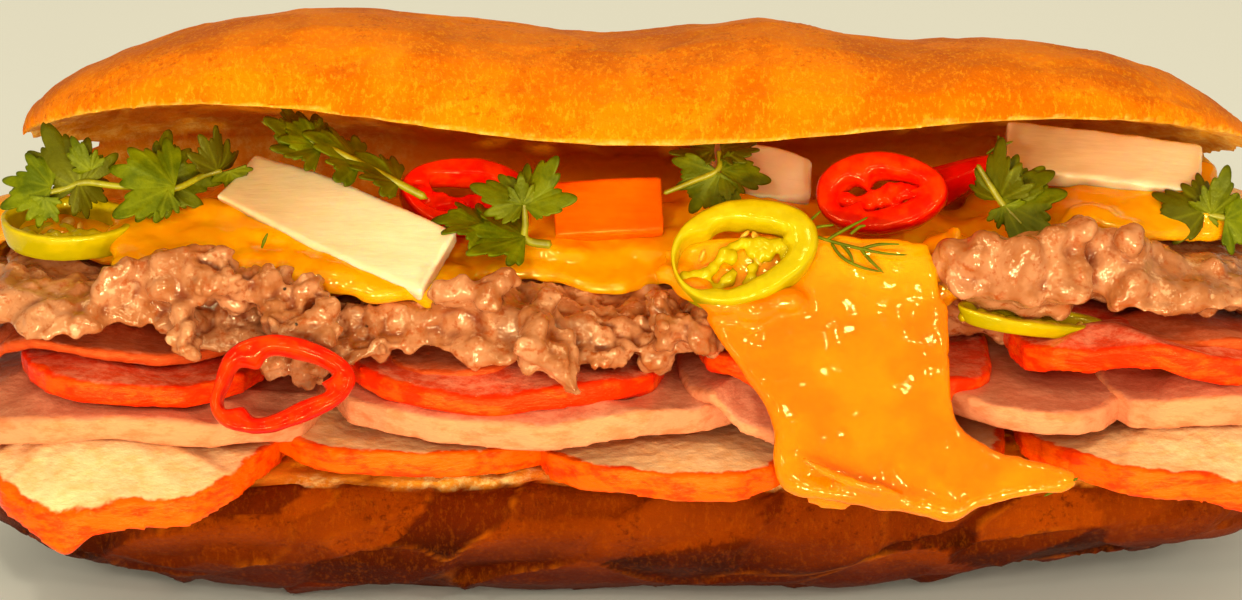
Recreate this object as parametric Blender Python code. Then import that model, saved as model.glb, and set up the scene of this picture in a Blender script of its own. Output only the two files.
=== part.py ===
"""Banh mi, opened up and filled: one loaf, slit along its front and hinged at its back, that holds slices of
roast meat, pork roll, red ham and pink ham, two spreads of minced meat, a sheet of egg sauce that runs down
the front, and pieces of radish, carrot and chilli.

Sizes are in millimetres and angles in degrees; add_mesh turns millimetres into metres. X runs along the loaf,
the open side faces -Y and +Z is up. The origin is under the middle of the loaf, on the surface it rests on.
"""

import math

import bpy
import numpy as np

MM = 0.001
GAP = 0.45  # clear space between pieces that touch

# Lower half of the loaf
LOWER_HALF_LENGTH = 112.0
LOWER_HALF_WIDTH = 37.0
LOWER_END_POWER = 8.0  # how blunt the ends are in plan
LOWER_DEPTH_POWER = 5.0  # and seen from the side
CUT_HEIGHT = 26.5
LOWER_DEPTH = 27.4  # deeper than the cut is high, so the underside is cut off flat where the loaf rests
LOWER_RISE = 5.6  # the underside rises towards one end
LOWER_RISE_FROM, LOWER_RISE_OVER = 53.0, 7.0
LOWER_WAVE, LOWER_WAVE_LENGTH = 0.02, 13.0  # its sides waver by this share of the width

# Upper half of the loaf, tilted back about the hinge
UPPER_HALF_LENGTH = 98.0
UPPER_HALF_WIDTH = 35.0
UPPER_END_POWER = 4.0
UPPER_DOME_POWER = 2.2  # how fast it thins towards its ends
UPPER_THICKNESS = 21.9
UPPER_TILT = 25.0
UPPER_MIDDLE = (5.7, 63.4)  # y and z of the middle of its cut face
UPPER_SAG = (7.2, 4.8)  # how much lower its middle hangs than its left and right shoulders
UPPER_SHOULDER = 70.0  # how far out those shoulders are
UPPER_HOLLOW = 4.5  # crumb pressed away inside it
UPPER_SWELLS = (  # x, rise and spread of the humps and dips along its back
    (-76.0, -1.6, 18.0),
    (-8.0, -0.8, 12.0),
    (21.0, 1.4, 12.0),
    (37.0, -4.0, 9.0),
    (60.0, -3.4, 18.0),
    (77.0, -1.2, 8.0),
    (93.0, -6.5, 10.0),
)

# Hinge of crumb and crust that joins the halves at the back
HINGE_HALF_LENGTH = 95.0
HINGE_INSET = 23.0  # from the back of the lower half to the hinge's own centre line
HINGE_CENTRE_HEIGHT = 38.0
HINGE_RADIUS = 21.5
HINGE_HALF_WALL = 5.4
HINGE_FROM, HINGE_TO = -48.0, 62.0
HINGE_END_WALL = 0.35  # share of its wall that it keeps at its ends
HINGE_STATIONS = 20
HINGE_REACH = 0.96
HINGE_ARC_POINTS = 7

SECTION_POWER = 2.3  # how square the halves are across
LOAF_STATIONS = 24
LOAF_REACH = 0.93
ARC_POINTS = 13
CUT_POINTS = 5
SMOOTH_CRUST = 40.0
SMOOTH_TOPPING = 35.0

# The pile of fillings is worked out on a grid
CELL = 0.5
PILE_LOW, PILE_HIGH = (-126.0, -62.0), (126.0, 44.0)
DROOP = 0.1  # how fast an overhanging slice drops, per mm squared
SPREADING = 4  # cells that one round of evening out reaches
MARGIN = 3  # cells of pile around a sheet that also hold it up
MOST_LIFTS = 60
TINY = 1e-6
CLOSE_ENOUGH = 1e-4

# name: x and y of the middle, half length, half depth, thickness, stiffness, phase of the wavy edge
SLICES = (
    ("roast_slice_1", -79.0, -15.5, 25.0, 30.5, 4.6, 6, 0.4),
    ("roast_slice_2", -33.2, -12.0, 18.0, 24.5, 4.2, 8, 2.1),
    ("roast_slice_3", 6.7, -14.0, 19.5, 28.5, 4.6, 6, 4.0),
    ("roast_slice_4", 47.6, -15.0, 18.7, 29.0, 4.4, 6, 1.3),
    ("roast_slice_5", 89.5, -13.0, 20.4, 29.0, 4.6, 6, 5.2),
    ("pork_roll_slice_1", -78.2, -12.5, 29.6, 26.0, 4.2, 6, 3.1),
    ("pork_roll_slice_2", -12.4, -12.5, 32.8, 26.0, 4.6, 12, 0.9),
    ("pork_roll_slice_3", 23.5, -12.5, 18.0, 24.0, 2.2, 6, 2.7),
    ("pork_roll_slice_4", 56.0, -12.5, 11.4, 24.5, 4.2, 6, 4.4),
    ("pork_roll_slice_5", 87.2, -11.5, 17.8, 24.0, 5.0, 6, 0.2),
    ("red_ham_slice_1", -77.5, -10.5, 19.0, 24.5, 3.6, 6, 1.8),
    ("red_ham_slice_2", -21.0, -11.0, 26.5, 25.0, 3.6, 10, 5.6),
    ("red_ham_slice_3", 24.3, -9.5, 15.6, 24.0, 3.0, 6, 3.6),
    ("red_ham_slice_4", 48.0, -11.0, 6.8, 20.0, 4.2, 6, 2.2),
    ("red_ham_slice_5", 80.5, -10.0, 22.8, 24.0, 4.6, 6, 0.6),
    ("pink_ham_slice_1", -83.5, -7.5, 22.0, 20.0, 2.0, 6, 4.9),
    ("pink_ham_slice_2", -28.0, -8.0, 13.0, 22.0, 1.8, 8, 1.1),
    ("pink_ham_slice_3", 84.0, -8.0, 18.0, 22.0, 2.2, 6, 2.9),
)
SLICE_POINTS = 20
SLICE_POWER = 2.9  # how square the slices are
SLICE_RINGS = (0.62, 1.0)
SLICE_WAVES = ((3, 0.025, 1), (5, 0.018, 2))  # lobes around it, their share of its size, times its phase

# Spreads of minced meat: name, ends in x, back edge, front edge, thickness, phase of the lumps
SPREADS = (
    ("minced_meat_left", -107.0, 38.0, 11.0, -30.5, 7.8, 7.0),
    ("minced_meat_right", 39.2, 104.0, 10.5, -26.5, 8.4, 4.0),
)
SPREAD_STATION = 5.2
SPREAD_ROWS = 9
SPREAD_STIFFNESS = 10
SPREAD_EDGE = 1.2  # thickness at its edge
SPREAD_ROUNDNESS = 3.2
SPREAD_WANDER = ((2.2, 6.1), (1.4, 3.3))  # how far, and how quickly along x, its front edge wanders
SPREAD_LUMP, LUMP_LENGTH, LUMP_ROWS, LUMP_DRIFT = 0.12, 4.7, 7.0, 9.0
SPREAD_ENDS = ((12.0, 0.35), (30.0, 0.5))  # bluntness and least share of its ends, in plan and in thickness
RECESS_FROM, RECESS_TO, RECESS_DEPTH = 17.0, 45.0, 17.0  # where both draw back under the run of sauce
STEP_LENGTH = 1.2

# Sheet of egg sauce
SAUCE_ENDS = (-103.0, 98.0)
SAUCE_BACK = 13.5
SAUCE_FRONT = -15.5
SAUCE_THICKNESS = 2.4
SAUCE_EDGE = 0.9  # thickness at its edge
SAUCE_EDGE_SHARE = 0.2  # of its depth over which it comes to its full thickness
SAUCE_END_POWER, SAUCE_END_SHARE = 8.0, 0.25
SAUCE_LIP = ((2.0, 7.0), (1.2, 3.1))  # how far, and how quickly along x, its front edge wanders
SAUCE_STATION = 5.0
SAUCE_ROWS = 11
SAUCE_STIFFNESS, POOL_STIFFNESS = 3, 14  # of its underside, and of the top that it levels out to
RUN_MIDDLE = 27.5  # the run of sauce down the front
RUN_HALF_WIDTH = 17.0
RUN_FRONT = -44.5
RUN_EXTRA = 1.8
RUN_DRIFT = 11.0  # it drifts sideways on its way down
RUN_STEEPNESS = 10
RUN_WAVE, RUN_WAVE_LENGTH = 2.5, 9.0  # its lower edge
RUN_STATION_SHARE, RUN_STATION_REACH = 0.45, 1.5  # its stations are closer together

# Toppings
SLAB_STATIONS = 7
SLAB_CORNER = 0.16  # of its thickness
RING_STEPS = 20
RING_LOBES, RING_LOBE = 3, 0.05
FINGER_STATIONS, FINGER_POINTS = 6, 10
FINGER_TAPER, FINGER_TIP, FINGER_BEND = 0.5, 0.94, 1.2

COLOURS = {  # base colour and roughness
    "crust": ((0.72, 0.33, 0.07), 0.55),
    "roast": ((0.87, 0.55, 0.27), 0.4),
    "pork_roll": ((0.82, 0.50, 0.36), 0.45),
    "red_ham": ((0.86, 0.25, 0.10), 0.35),
    "pink_ham": ((0.80, 0.42, 0.34), 0.4),
    "minced_meat": ((0.62, 0.38, 0.25), 0.4),
    "egg_sauce": ((0.95, 0.55, 0.04), 0.2),
    "radish": ((0.90, 0.82, 0.62), 0.35),
    "carrot": ((0.95, 0.30, 0.03), 0.35),
    "red_chilli": ((0.80, 0.03, 0.01), 0.25),
    "green_chilli": ((0.62, 0.65, 0.05), 0.3),
}


def clear_scene():
    for thing in list(bpy.data.objects):
        bpy.data.objects.remove(thing)


def material(kind):
    """The Principled material of one kind of food, made once."""
    found = bpy.data.materials.get(kind)
    if found:
        return found
    colour, roughness = COLOURS[kind]
    made = bpy.data.materials.new(kind)
    made.use_nodes = True
    shader = made.node_tree.nodes["Principled BSDF"]
    shader.inputs["Base Color"].default_value = (*colour, 1.0)
    shader.inputs["Roughness"].default_value = roughness
    shader.inputs["Metallic"].default_value = 0.0
    made.diffuse_color = (*colour, 1.0)
    return made


def add_mesh(name, points, faces, kind, smooth_angle=None):
    """One object from points in millimetres."""
    mesh = bpy.data.meshes.new(name)
    mesh.from_pydata((np.asarray(points) * MM).tolist(), [], [list(map(int, face)) for face in faces])
    mesh.validate()
    if smooth_angle:
        mesh.shade_smooth()
        mesh.set_sharp_from_angle(angle=math.radians(smooth_angle))
    made = bpy.data.objects.new(name, mesh)
    mesh.materials.append(material(kind))
    bpy.context.scene.collection.objects.link(made)
    return made


def loft(loops, curved=False):
    """Points and triangles of a closed skin through loops of equal length.

    Each end gets a fan about its middle or, where a curved loop has no middle of its own, a ladder across it.
    """
    count = len(loops[0])
    points = [point for loop in loops for point in loop]
    faces = []
    for row in range(len(loops) - 1):
        for k in range(count):
            a, b = row * count + k, row * count + (k + 1) % count
            faces += [(a, b, b + count), (a, b + count, a + count)]
    for row, order in ((0, -1), (len(loops) - 1, 1)):
        first = row * count
        if curved:
            for k in range(count // 2 - 1):
                a, b, c, d = first + k, first + k + 1, first + count - 2 - k, first + count - 1 - k
                faces += [(a, b, c)[::order], (a, c, d)[::order]]
            continue
        points.append(tuple(np.mean(loops[row], axis=0)))
        for k in range(count):
            faces.append((len(points) - 1, first + k, first + (k + 1) % count)[::order])
    return np.array(points), np.array(faces)


def superellipse(angle, power):
    """A point on a unit superellipse."""
    across, up = math.cos(angle), math.sin(angle)
    return (
        math.copysign(abs(across) ** (2 / power), across),
        math.copysign(abs(up) ** (2 / power), up),
    )


def end_taper(x, half_length, power):
    return math.sqrt(max(0.0, 1 - min(1.0, abs(x) / half_length) ** power))


def stations(half_length, count, reach):
    """Places along x, closer together towards the blunt ends."""
    return [half_length * math.sin(math.pi / 2 * reach * s) for s in np.linspace(-1, 1, count)]


def lower_taper(x):
    """How much of its full width the lower half keeps at x."""
    return end_taper(x, LOWER_HALF_LENGTH, LOWER_END_POWER)


def lower_half():
    """The lower half of the loaf: a boat with a flat cut face and a flat spot underneath."""
    loops = []
    for x in stations(LOWER_HALF_LENGTH, LOAF_STATIONS, LOAF_REACH):
        width = LOWER_HALF_WIDTH * lower_taper(x) * (1 + LOWER_WAVE * math.sin(x / LOWER_WAVE_LENGTH))
        taper = end_taper(x, LOWER_HALF_LENGTH, LOWER_DEPTH_POWER)
        rise = LOWER_RISE / (1 + math.exp((LOWER_RISE_FROM - x) / LOWER_RISE_OVER))
        loop = []
        for angle in np.linspace(0, math.pi, ARC_POINTS):
            across, down = superellipse(angle, SECTION_POWER)
            depth = (LOWER_DEPTH - rise) * taper * down
            loop.append((x, -width * across, max(0.0, CUT_HEIGHT - depth)))
        for share in np.linspace(1, -1, CUT_POINTS + 2)[1:-1]:
            loop.append((x, width * share, CUT_HEIGHT))
        loops.append(loop)
    return loft(loops)


def swell(x):
    """How much thicker the upper half is at x than a plain dome."""
    return sum(rise * math.exp(-(((x - at) / spread) ** 2)) for at, rise, spread in UPPER_SWELLS)


def upper_half():
    """The upper half of the loaf: a dome, hollowed a little, tilted so that its front edge is lifted."""
    tilt = math.radians(UPPER_TILT)
    loops = []
    for x in stations(UPPER_HALF_LENGTH, LOAF_STATIONS, LOAF_REACH):
        taper = end_taper(x, UPPER_HALF_LENGTH, UPPER_END_POWER)
        width = UPPER_HALF_WIDTH * taper
        thickness = (UPPER_THICKNESS + swell(x)) * end_taper(x, UPPER_HALF_LENGTH, UPPER_DOME_POWER)
        lift = UPPER_SAG[x > 0] * math.sin(math.pi / 2 * x / UPPER_SHOULDER) ** 2
        profile = []
        for angle in np.linspace(0, math.pi, ARC_POINTS):
            across, up = superellipse(angle, SECTION_POWER)
            profile.append((-width * across, thickness * up))
        for share in np.linspace(1, -1, CUT_POINTS + 2)[1:-1]:
            profile.append((width * share, UPPER_HOLLOW * taper * (1 - share**2)))
        loop = []
        for y, z in profile[::-1]:
            loop.append(
                (
                    x,
                    UPPER_MIDDLE[0] + y * math.cos(tilt) + z * math.sin(tilt),
                    UPPER_MIDDLE[1] + lift - y * math.sin(tilt) + z * math.cos(tilt),
                )
            )
        loops.append(loop)
    return loft(loops)


def hinge():
    """The curved wall at the back that still joins the two halves."""
    loops = []
    angles = [math.radians(angle) for angle in np.linspace(HINGE_FROM, HINGE_TO, HINGE_ARC_POINTS)]
    for x in stations(HINGE_HALF_LENGTH, HINGE_STATIONS, HINGE_REACH):
        back = LOWER_HALF_WIDTH * lower_taper(x)
        taper = end_taper(x, HINGE_HALF_LENGTH, LOWER_END_POWER)
        wall = HINGE_HALF_WALL * (HINGE_END_WALL + (1 - HINGE_END_WALL) * taper)
        loop = []
        for radius, order in ((HINGE_RADIUS + wall, 1), (HINGE_RADIUS - wall, -1)):
            for angle in angles[::order]:
                y = back - HINGE_INSET + radius * math.cos(angle)
                loop.append((x, y, HINGE_CENTRE_HEIGHT + radius * math.sin(angle)))
        loops.append(loop)
    return loft(loops, curved=True)


def add_loaf(lower, upper, back):
    """The loaf is one piece: the halves and the hinge are joined."""
    loaf = add_mesh("loaf", *lower, "crust", SMOOTH_CRUST)
    for name, shape in (("upper_half", upper), ("hinge", back)):
        helper = add_mesh(name, *shape, "crust")
        helper.hide_render = True
        helper.display_type = "WIRE"
        union = loaf.modifiers.new("join_" + name, "BOOLEAN")
        union.operation = "UNION"
        union.solver = "EXACT"
        union.object = helper
    return loaf


class Pile:
    """How high the fillings reach so far, on a grid of cells, so that the next piece can be laid on them."""

    def __init__(self):
        self.low = np.array(PILE_LOW)
        self.shape = tuple(((np.array(PILE_HIGH) - self.low) / CELL).astype(int) + 1)
        x = self.low[0] + CELL * np.arange(self.shape[0])[:, None]
        y = self.low[1] + CELL * np.arange(self.shape[1])[None, :]
        rim = (np.abs(x / LOWER_HALF_LENGTH) ** LOWER_END_POWER + np.abs(y / LOWER_HALF_WIDTH) ** 2) ** 0.5
        beyond = np.maximum(0.0, (rim - 1) * LOWER_HALF_WIDTH)
        self.height = CUT_HEIGHT - DROOP * beyond**2

    def cover(self, points, faces):
        """For every cell under a triangle: its two indices, the triangle's corners, and their shares."""
        rows, corners, shares = [], [], []
        places = (np.asarray(points)[:, :2] - self.low) / CELL
        for face in faces:
            a, b, c = places[list(face)]
            area = (b[0] - a[0]) * (c[1] - a[1]) - (b[1] - a[1]) * (c[0] - a[0])
            if abs(area) < TINY:
                continue
            first = np.ceil(np.min([a, b, c], axis=0)).astype(int)
            last = np.floor(np.max([a, b, c], axis=0)).astype(int)
            first, last = np.maximum(first, 0), np.minimum(last, np.array(self.shape) - 1)
            ranges = [np.arange(low, high + 1) for low, high in zip(first, last)]
            i, j = (index.ravel() for index in np.meshgrid(*ranges, indexing="ij"))
            share_b = ((i - a[0]) * (c[1] - a[1]) - (j - a[1]) * (c[0] - a[0])) / area
            share_c = ((b[0] - a[0]) * (j - a[1]) - (b[1] - a[1]) * (i - a[0])) / area
            share = np.stack([1 - share_b - share_c, share_b, share_c], axis=1)
            inside = (share > -TINY).all(axis=1)
            rows.append(np.stack([i, j], axis=1)[inside])
            corners.append(np.tile(face, (int(inside.sum()), 1)))
            shares.append(share[inside])
        return np.concatenate(rows), np.concatenate(corners), np.concatenate(shares)

    def add(self, points, faces):
        """Raises the pile to the top of a shape."""
        cells, corners, shares = self.cover(points, faces)
        heights = (np.asarray(points)[:, 2][corners] * shares).sum(axis=1)
        np.maximum.at(self.height, (cells[:, 0], cells[:, 1]), heights)

    def support(self):
        """The height that a piece has to clear: the highest of each cell and its neighbours, and the gap."""
        best = self.height.copy()
        for step in ((1, 0), (-1, 0), (0, 1), (0, -1), (1, 1), (1, -1), (-1, 1), (-1, -1)):
            best = np.maximum(best, np.roll(self.height, step, axis=(0, 1)))
        return best + GAP

    def lay(self, plan, faces, stiffness):
        """Heights for the corners of a limp sheet laid on the pile. It bridges steps and enters nothing."""
        support = self.support()
        cells, corners, shares = self.cover(plan, faces)
        inside = np.zeros(self.shape)
        inside[cells[:, 0], cells[:, 1]] = 1.0
        for _ in range(MARGIN):
            moved = [np.roll(inside, s, axis=axis) for s in (1, -1) for axis in (0, 1)]
            inside = np.maximum.reduce([inside] + moved)
        floor = np.where(inside > 0, support, 0.0)
        sheet = floor.copy()
        for _ in range(stiffness):
            total, weight = sheet * inside, inside.copy()
            for axis in (0, 1):
                total = sum(np.roll(total, s, axis=axis) for s in range(-SPREADING, SPREADING + 1))
                weight = sum(np.roll(weight, s, axis=axis) for s in range(-SPREADING, SPREADING + 1))
            sheet = np.maximum(floor, total / np.maximum(weight, TINY) * inside)
        nearest = np.round((np.asarray(plan) - self.low) / CELL).astype(int)
        nearest = np.clip(nearest, 0, np.array(self.shape) - 1)
        heights = sheet[nearest[:, 0], nearest[:, 1]]
        needed = support[cells[:, 0], cells[:, 1]]
        for _ in range(MOST_LIFTS):
            short = needed - (heights[corners] * shares).sum(axis=1)
            low = short > CLOSE_ENOUGH
            if not low.any():
                break
            rise = (short[:, None] * shares / (shares**2).sum(axis=1)[:, None])[low]
            lift = np.zeros(len(heights))
            np.maximum.at(lift, corners[low].ravel(), rise.ravel())
            heights += lift
        return heights

    def drop(self, points, faces):
        """How far a rigid shape has to rise to rest on the pile."""
        cells, corners, shares = self.cover(points, faces)
        heights = (np.asarray(points)[:, 2][corners] * shares).sum(axis=1)
        return float((self.support()[cells[:, 0], cells[:, 1]] - heights).max())


def disc_plan(outline):
    """Points, triangles and rim of a flat disc, as rings inside an outline."""
    outline = np.array(outline)
    middle = outline.mean(axis=0)
    count = len(outline)
    points = [middle]
    for ring in SLICE_RINGS:
        points.extend(middle + (outline - middle) * ring)
    faces = [(0, 1 + k, 1 + (k + 1) % count) for k in range(count)]
    for ring in range(len(SLICE_RINGS) - 1):
        for k in range(count):
            a, b = 1 + ring * count + k, 1 + ring * count + (k + 1) % count
            faces += [(a, a + count, b + count), (a, b + count, b)]
    rim = [1 + (len(SLICE_RINGS) - 1) * count + k for k in range(count)]
    return np.array(points), np.array(faces), rim


def strip_plan(columns):
    """Points, triangles and rim of a sheet given as columns of (x, y) points from front to back."""
    rows = len(columns[0])
    points = np.array([point for column in columns for point in column])
    faces = []
    for i in range(len(columns) - 1):
        for j in range(rows - 1):
            a = i * rows + j
            faces += [(a, a + rows, a + rows + 1), (a, a + rows + 1, a + 1)]
    last = (len(columns) - 1) * rows
    rim = [i * rows for i in range(len(columns))]
    rim += [last + j for j in range(1, rows)]
    rim += [i * rows + rows - 1 for i in range(len(columns) - 2, -1, -1)]
    rim += list(range(rows - 2, 0, -1))
    return points, np.array(faces), rim


def sheet_solid(plan, faces, rim, bottom, thickness):
    """A closed solid between the bottom heights of a plan and the same plan raised by its thickness."""
    count = len(plan)
    under = np.column_stack([plan, bottom])
    over = np.column_stack([plan, bottom + thickness])
    walls = []
    for k, a in enumerate(rim):
        b = rim[(k + 1) % len(rim)]
        walls += [(a, b, b + count), (a, b + count, a + count)]
    return np.concatenate([under, over]), np.concatenate([faces[:, ::-1], faces + count, walls])


def slice_outline(x, y, half_length, half_depth, phase):
    """The edge of a slice: nearly oval, a little wavy, as cut meat is."""
    outline = []
    for k in range(SLICE_POINTS):
        angle = 2 * math.pi * k / SLICE_POINTS
        wave = 1 + sum(size * math.sin(lobes * angle + times * phase) for lobes, size, times in SLICE_WAVES)
        across, along = superellipse(angle, SLICE_POWER)
        outline.append((x + half_length * across * wave, y + half_depth * along * wave))
    return outline


def add_slices(pile):
    """The slices are limp: each is laid on those before it and follows them."""
    for name, x, y, half_length, half_depth, thickness, stiffness, phase in SLICES:
        plan, faces, rim = disc_plan(slice_outline(x, y, half_length, half_depth, phase))
        bottom = pile.lay(plan, faces, stiffness)
        points, skin = sheet_solid(plan, faces, rim, bottom, thickness)
        add_mesh(name, points, skin, name.split("_slice")[0])
        pile.add(points, skin)


def step(past):
    """0 well before a place, 1 well past it, and smooth between."""
    return 1 / (1 + math.exp(-past / STEP_LENGTH))


def spread_profile(share):
    """Share of a spread's thickness from its front edge, 0, to its back edge, 1: flat with round edges."""
    edge = abs(2 * share - 1)
    return math.sqrt(max(0.0, 1 - edge**SPREAD_ROUNDNESS))


def wander(x, waves, phase=0.0):
    """How far an edge wanders at x. The phase shifts the first wave."""
    (first, length), (second, short_length) = waves
    return first * math.sin(x / length + phase) + second * math.sin(x / short_length)


def add_spreads(pile):
    """The minced meat lies in lumps, and its front edge wanders."""
    for name, start, end, back, front, thickness, lumps in SPREADS:
        middle, half = (start + end) / 2, (end - start) / 2
        columns, heights = [], []
        steps = round((end - start) / SPREAD_STATION)
        for x in middle + half * np.sin(np.linspace(-math.pi / 2, math.pi / 2, steps)):
            round_end, full = (max(least, end_taper(x - middle, half, power)) for power, least in SPREAD_ENDS)
            moved = wander(x, SPREAD_WANDER, lumps)
            moved += RECESS_DEPTH * step(x - RECESS_FROM) * step(RECESS_TO - x)
            near = (front + back) / 2 + ((front - back) / 2 + moved) * round_end
            far = (front + back) / 2 + (back - front) / 2 * round_end
            columns.append([(x, near + (far - near) * s) for s in np.linspace(0, 1, SPREAD_ROWS)])
            for s in np.linspace(0, 1, SPREAD_ROWS):
                lump = math.sin(x / LUMP_LENGTH + lumps * s) * math.sin(LUMP_ROWS * s + x / LUMP_DRIFT)
                rise = (thickness - SPREAD_EDGE) * spread_profile(s) * full
                heights.append(SPREAD_EDGE + rise * (1 + SPREAD_LUMP * lump))
        plan, faces, rim = strip_plan(columns)
        bottom = pile.lay(plan, faces, SPREAD_STIFFNESS)
        points, skin = sheet_solid(plan, faces, rim, bottom, np.array(heights))
        add_mesh(name, points, skin, "minced_meat")
        pile.add(points, skin)


def run_share(x):
    """1 in the middle of the run of sauce down the front, 0 away from it, with steep sides."""
    away = abs(x - RUN_MIDDLE) / RUN_HALF_WIDTH
    return 1 / (1 + away**RUN_STEEPNESS)


def sauce_stations():
    """Places along x for the sauce's columns, closer together at the run."""
    x, end = SAUCE_ENDS
    places = []
    while x < end:
        places.append(x)
        near_run = abs(x - RUN_MIDDLE) < RUN_STATION_REACH * RUN_HALF_WIDTH
        x += SAUCE_STATION * (RUN_STATION_SHARE if near_run else 1.0)
    return places + [end]


def add_sauce(pile):
    """The egg sauce lies over the minced meat and runs down over the edges of the slices."""
    start, end = SAUCE_ENDS
    middle, half = (start + end) / 2, (end - start) / 2
    columns, heights = [], []
    for x in sauce_stations():
        round_end = max(SAUCE_END_SHARE, end_taper(x - middle, half, SAUCE_END_POWER))
        run = run_share(x)
        lip = (SAUCE_FRONT + wander(x, SAUCE_LIP)) * round_end
        run_front = RUN_FRONT - RUN_WAVE * math.sin((x - RUN_MIDDLE) / RUN_WAVE_LENGTH)
        near = lip + (run_front - lip) * run
        far = SAUCE_BACK * round_end
        column = []
        for share in np.linspace(0, 1, SAUCE_ROWS):
            y = near + (far - near) * share
            down = max(0.0, (SAUCE_FRONT - y) / (SAUCE_FRONT - RUN_FRONT))
            column.append((x + down * RUN_DRIFT, y))
            edge = min(1.0, share / SAUCE_EDGE_SHARE, (1 - share) / SAUCE_EDGE_SHARE)
            rise = SAUCE_THICKNESS - SAUCE_EDGE + RUN_EXTRA * run
            heights.append(SAUCE_EDGE + rise * edge * round_end)
        columns.append(column)
    plan, faces, rim = strip_plan(columns)
    bottom = pile.lay(plan, faces, SAUCE_STIFFNESS)
    pooled = pile.lay(plan, faces, POOL_STIFFNESS) - bottom
    points, skin = sheet_solid(plan, faces, rim, bottom, np.array(heights) + pooled)
    add_mesh("egg_sauce", points, skin, "egg_sauce")
    pile.add(points, skin)


def rotation(pitch, roll, turn):
    """Turning matrix: pitch about X, roll about Y and then turn about Z, in degrees."""
    cx, sx = math.cos(math.radians(pitch)), math.sin(math.radians(pitch))
    cy, sy = math.cos(math.radians(roll)), math.sin(math.radians(roll))
    cz, sz = math.cos(math.radians(turn)), math.sin(math.radians(turn))
    about_x = np.array([[1, 0, 0], [0, cx, -sx], [0, sx, cx]])
    about_y = np.array([[cy, 0, sy], [0, 1, 0], [-sy, 0, cy]])
    about_z = np.array([[cz, -sz, 0], [sz, cz, 0], [0, 0, 1]])
    return about_z @ about_y @ about_x


def slab(length, width, thickness, bow, nose):
    """A slice of root vegetable: a flat bar with slightly round edges, bowed, narrowing to its nose."""
    loops = []
    for share in np.linspace(-1, 1, SLAB_STATIONS):
        narrow = 1 - nose * max(0.0, share) ** 2
        half_width, half_thick = width / 2 * narrow, thickness / 2
        lift = bow * (1 - share**2)
        corner = SLAB_CORNER * thickness
        profile = (
            (-half_width, -half_thick + corner),
            (-half_width + corner, -half_thick),
            (half_width - corner, -half_thick),
            (half_width, -half_thick + corner),
            (half_width, half_thick - corner),
            (half_width - corner, half_thick),
            (-half_width + corner, half_thick),
            (-half_width, half_thick - corner),
        )
        loops.append([(share * length / 2, y, z + lift) for y, z in profile])
    return loft(loops)


def chilli_ring(radius, wall, height, squash, cone, turns=1.0):
    """A ring cut from a chilli: a slanted, squashed tube wall, or part of one where turns is under 1."""
    steps = round(RING_STEPS * turns)
    closed = turns >= 1
    loops = []
    for k in range(steps if closed else steps + 1):
        angle = 2 * math.pi * turns * k / steps
        lobed = 1 + RING_LOBE * math.sin(RING_LOBES * angle)
        section = (
            (radius, -height / 2),
            (radius * cone, height / 2),
            (radius * cone - wall, height / 2),
            (radius - wall, -height / 2),
        )
        across, up = lobed * math.cos(angle), lobed * squash * math.sin(angle)
        loops.append([(r * across, r * up, z) for r, z in section])
    if not closed:
        points, faces = loft(loops)
        return points, faces[:, ::-1]
    points = np.array([point for loop in loops for point in loop])
    faces = []
    for k in range(steps):
        for m in range(4):
            a, b = 4 * k + m, 4 * k + (m + 1) % 4
            c, d = 4 * ((k + 1) % steps) + (m + 1) % 4, 4 * ((k + 1) % steps) + m
            faces += [(a, c, b), (a, d, c)]
    return points, np.array(faces)


def chilli_end(length, radius):
    """The end of a chilli: a tapering, slightly bent finger with a round tip."""
    loops = []
    for share in np.linspace(0, 1, FINGER_STATIONS):
        reach = radius * (1 - FINGER_TAPER * share) * math.sqrt(1 - (FINGER_TIP * share) ** 6)
        bend = FINGER_BEND * share**2
        loop = []
        for k in range(FINGER_POINTS):
            angle = 2 * math.pi * k / FINGER_POINTS
            x = (share - 0.5) * length
            loop.append((x, reach * math.cos(angle), reach * math.sin(angle) + bend))
        loops.append(loop)
    return loft(loops)


def chilli_under_spreads():
    """The one topping that lies between the slices and the minced meat, in the form that toppings gives."""
    strip = chilli_ring(12.5, 2.2, 3.4, squash=0.5, cone=0.94, turns=0.55)
    return (("chilli_green_front", "green_chilli", strip, (59.5, -20.5), (4, 2, 188)),)


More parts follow.
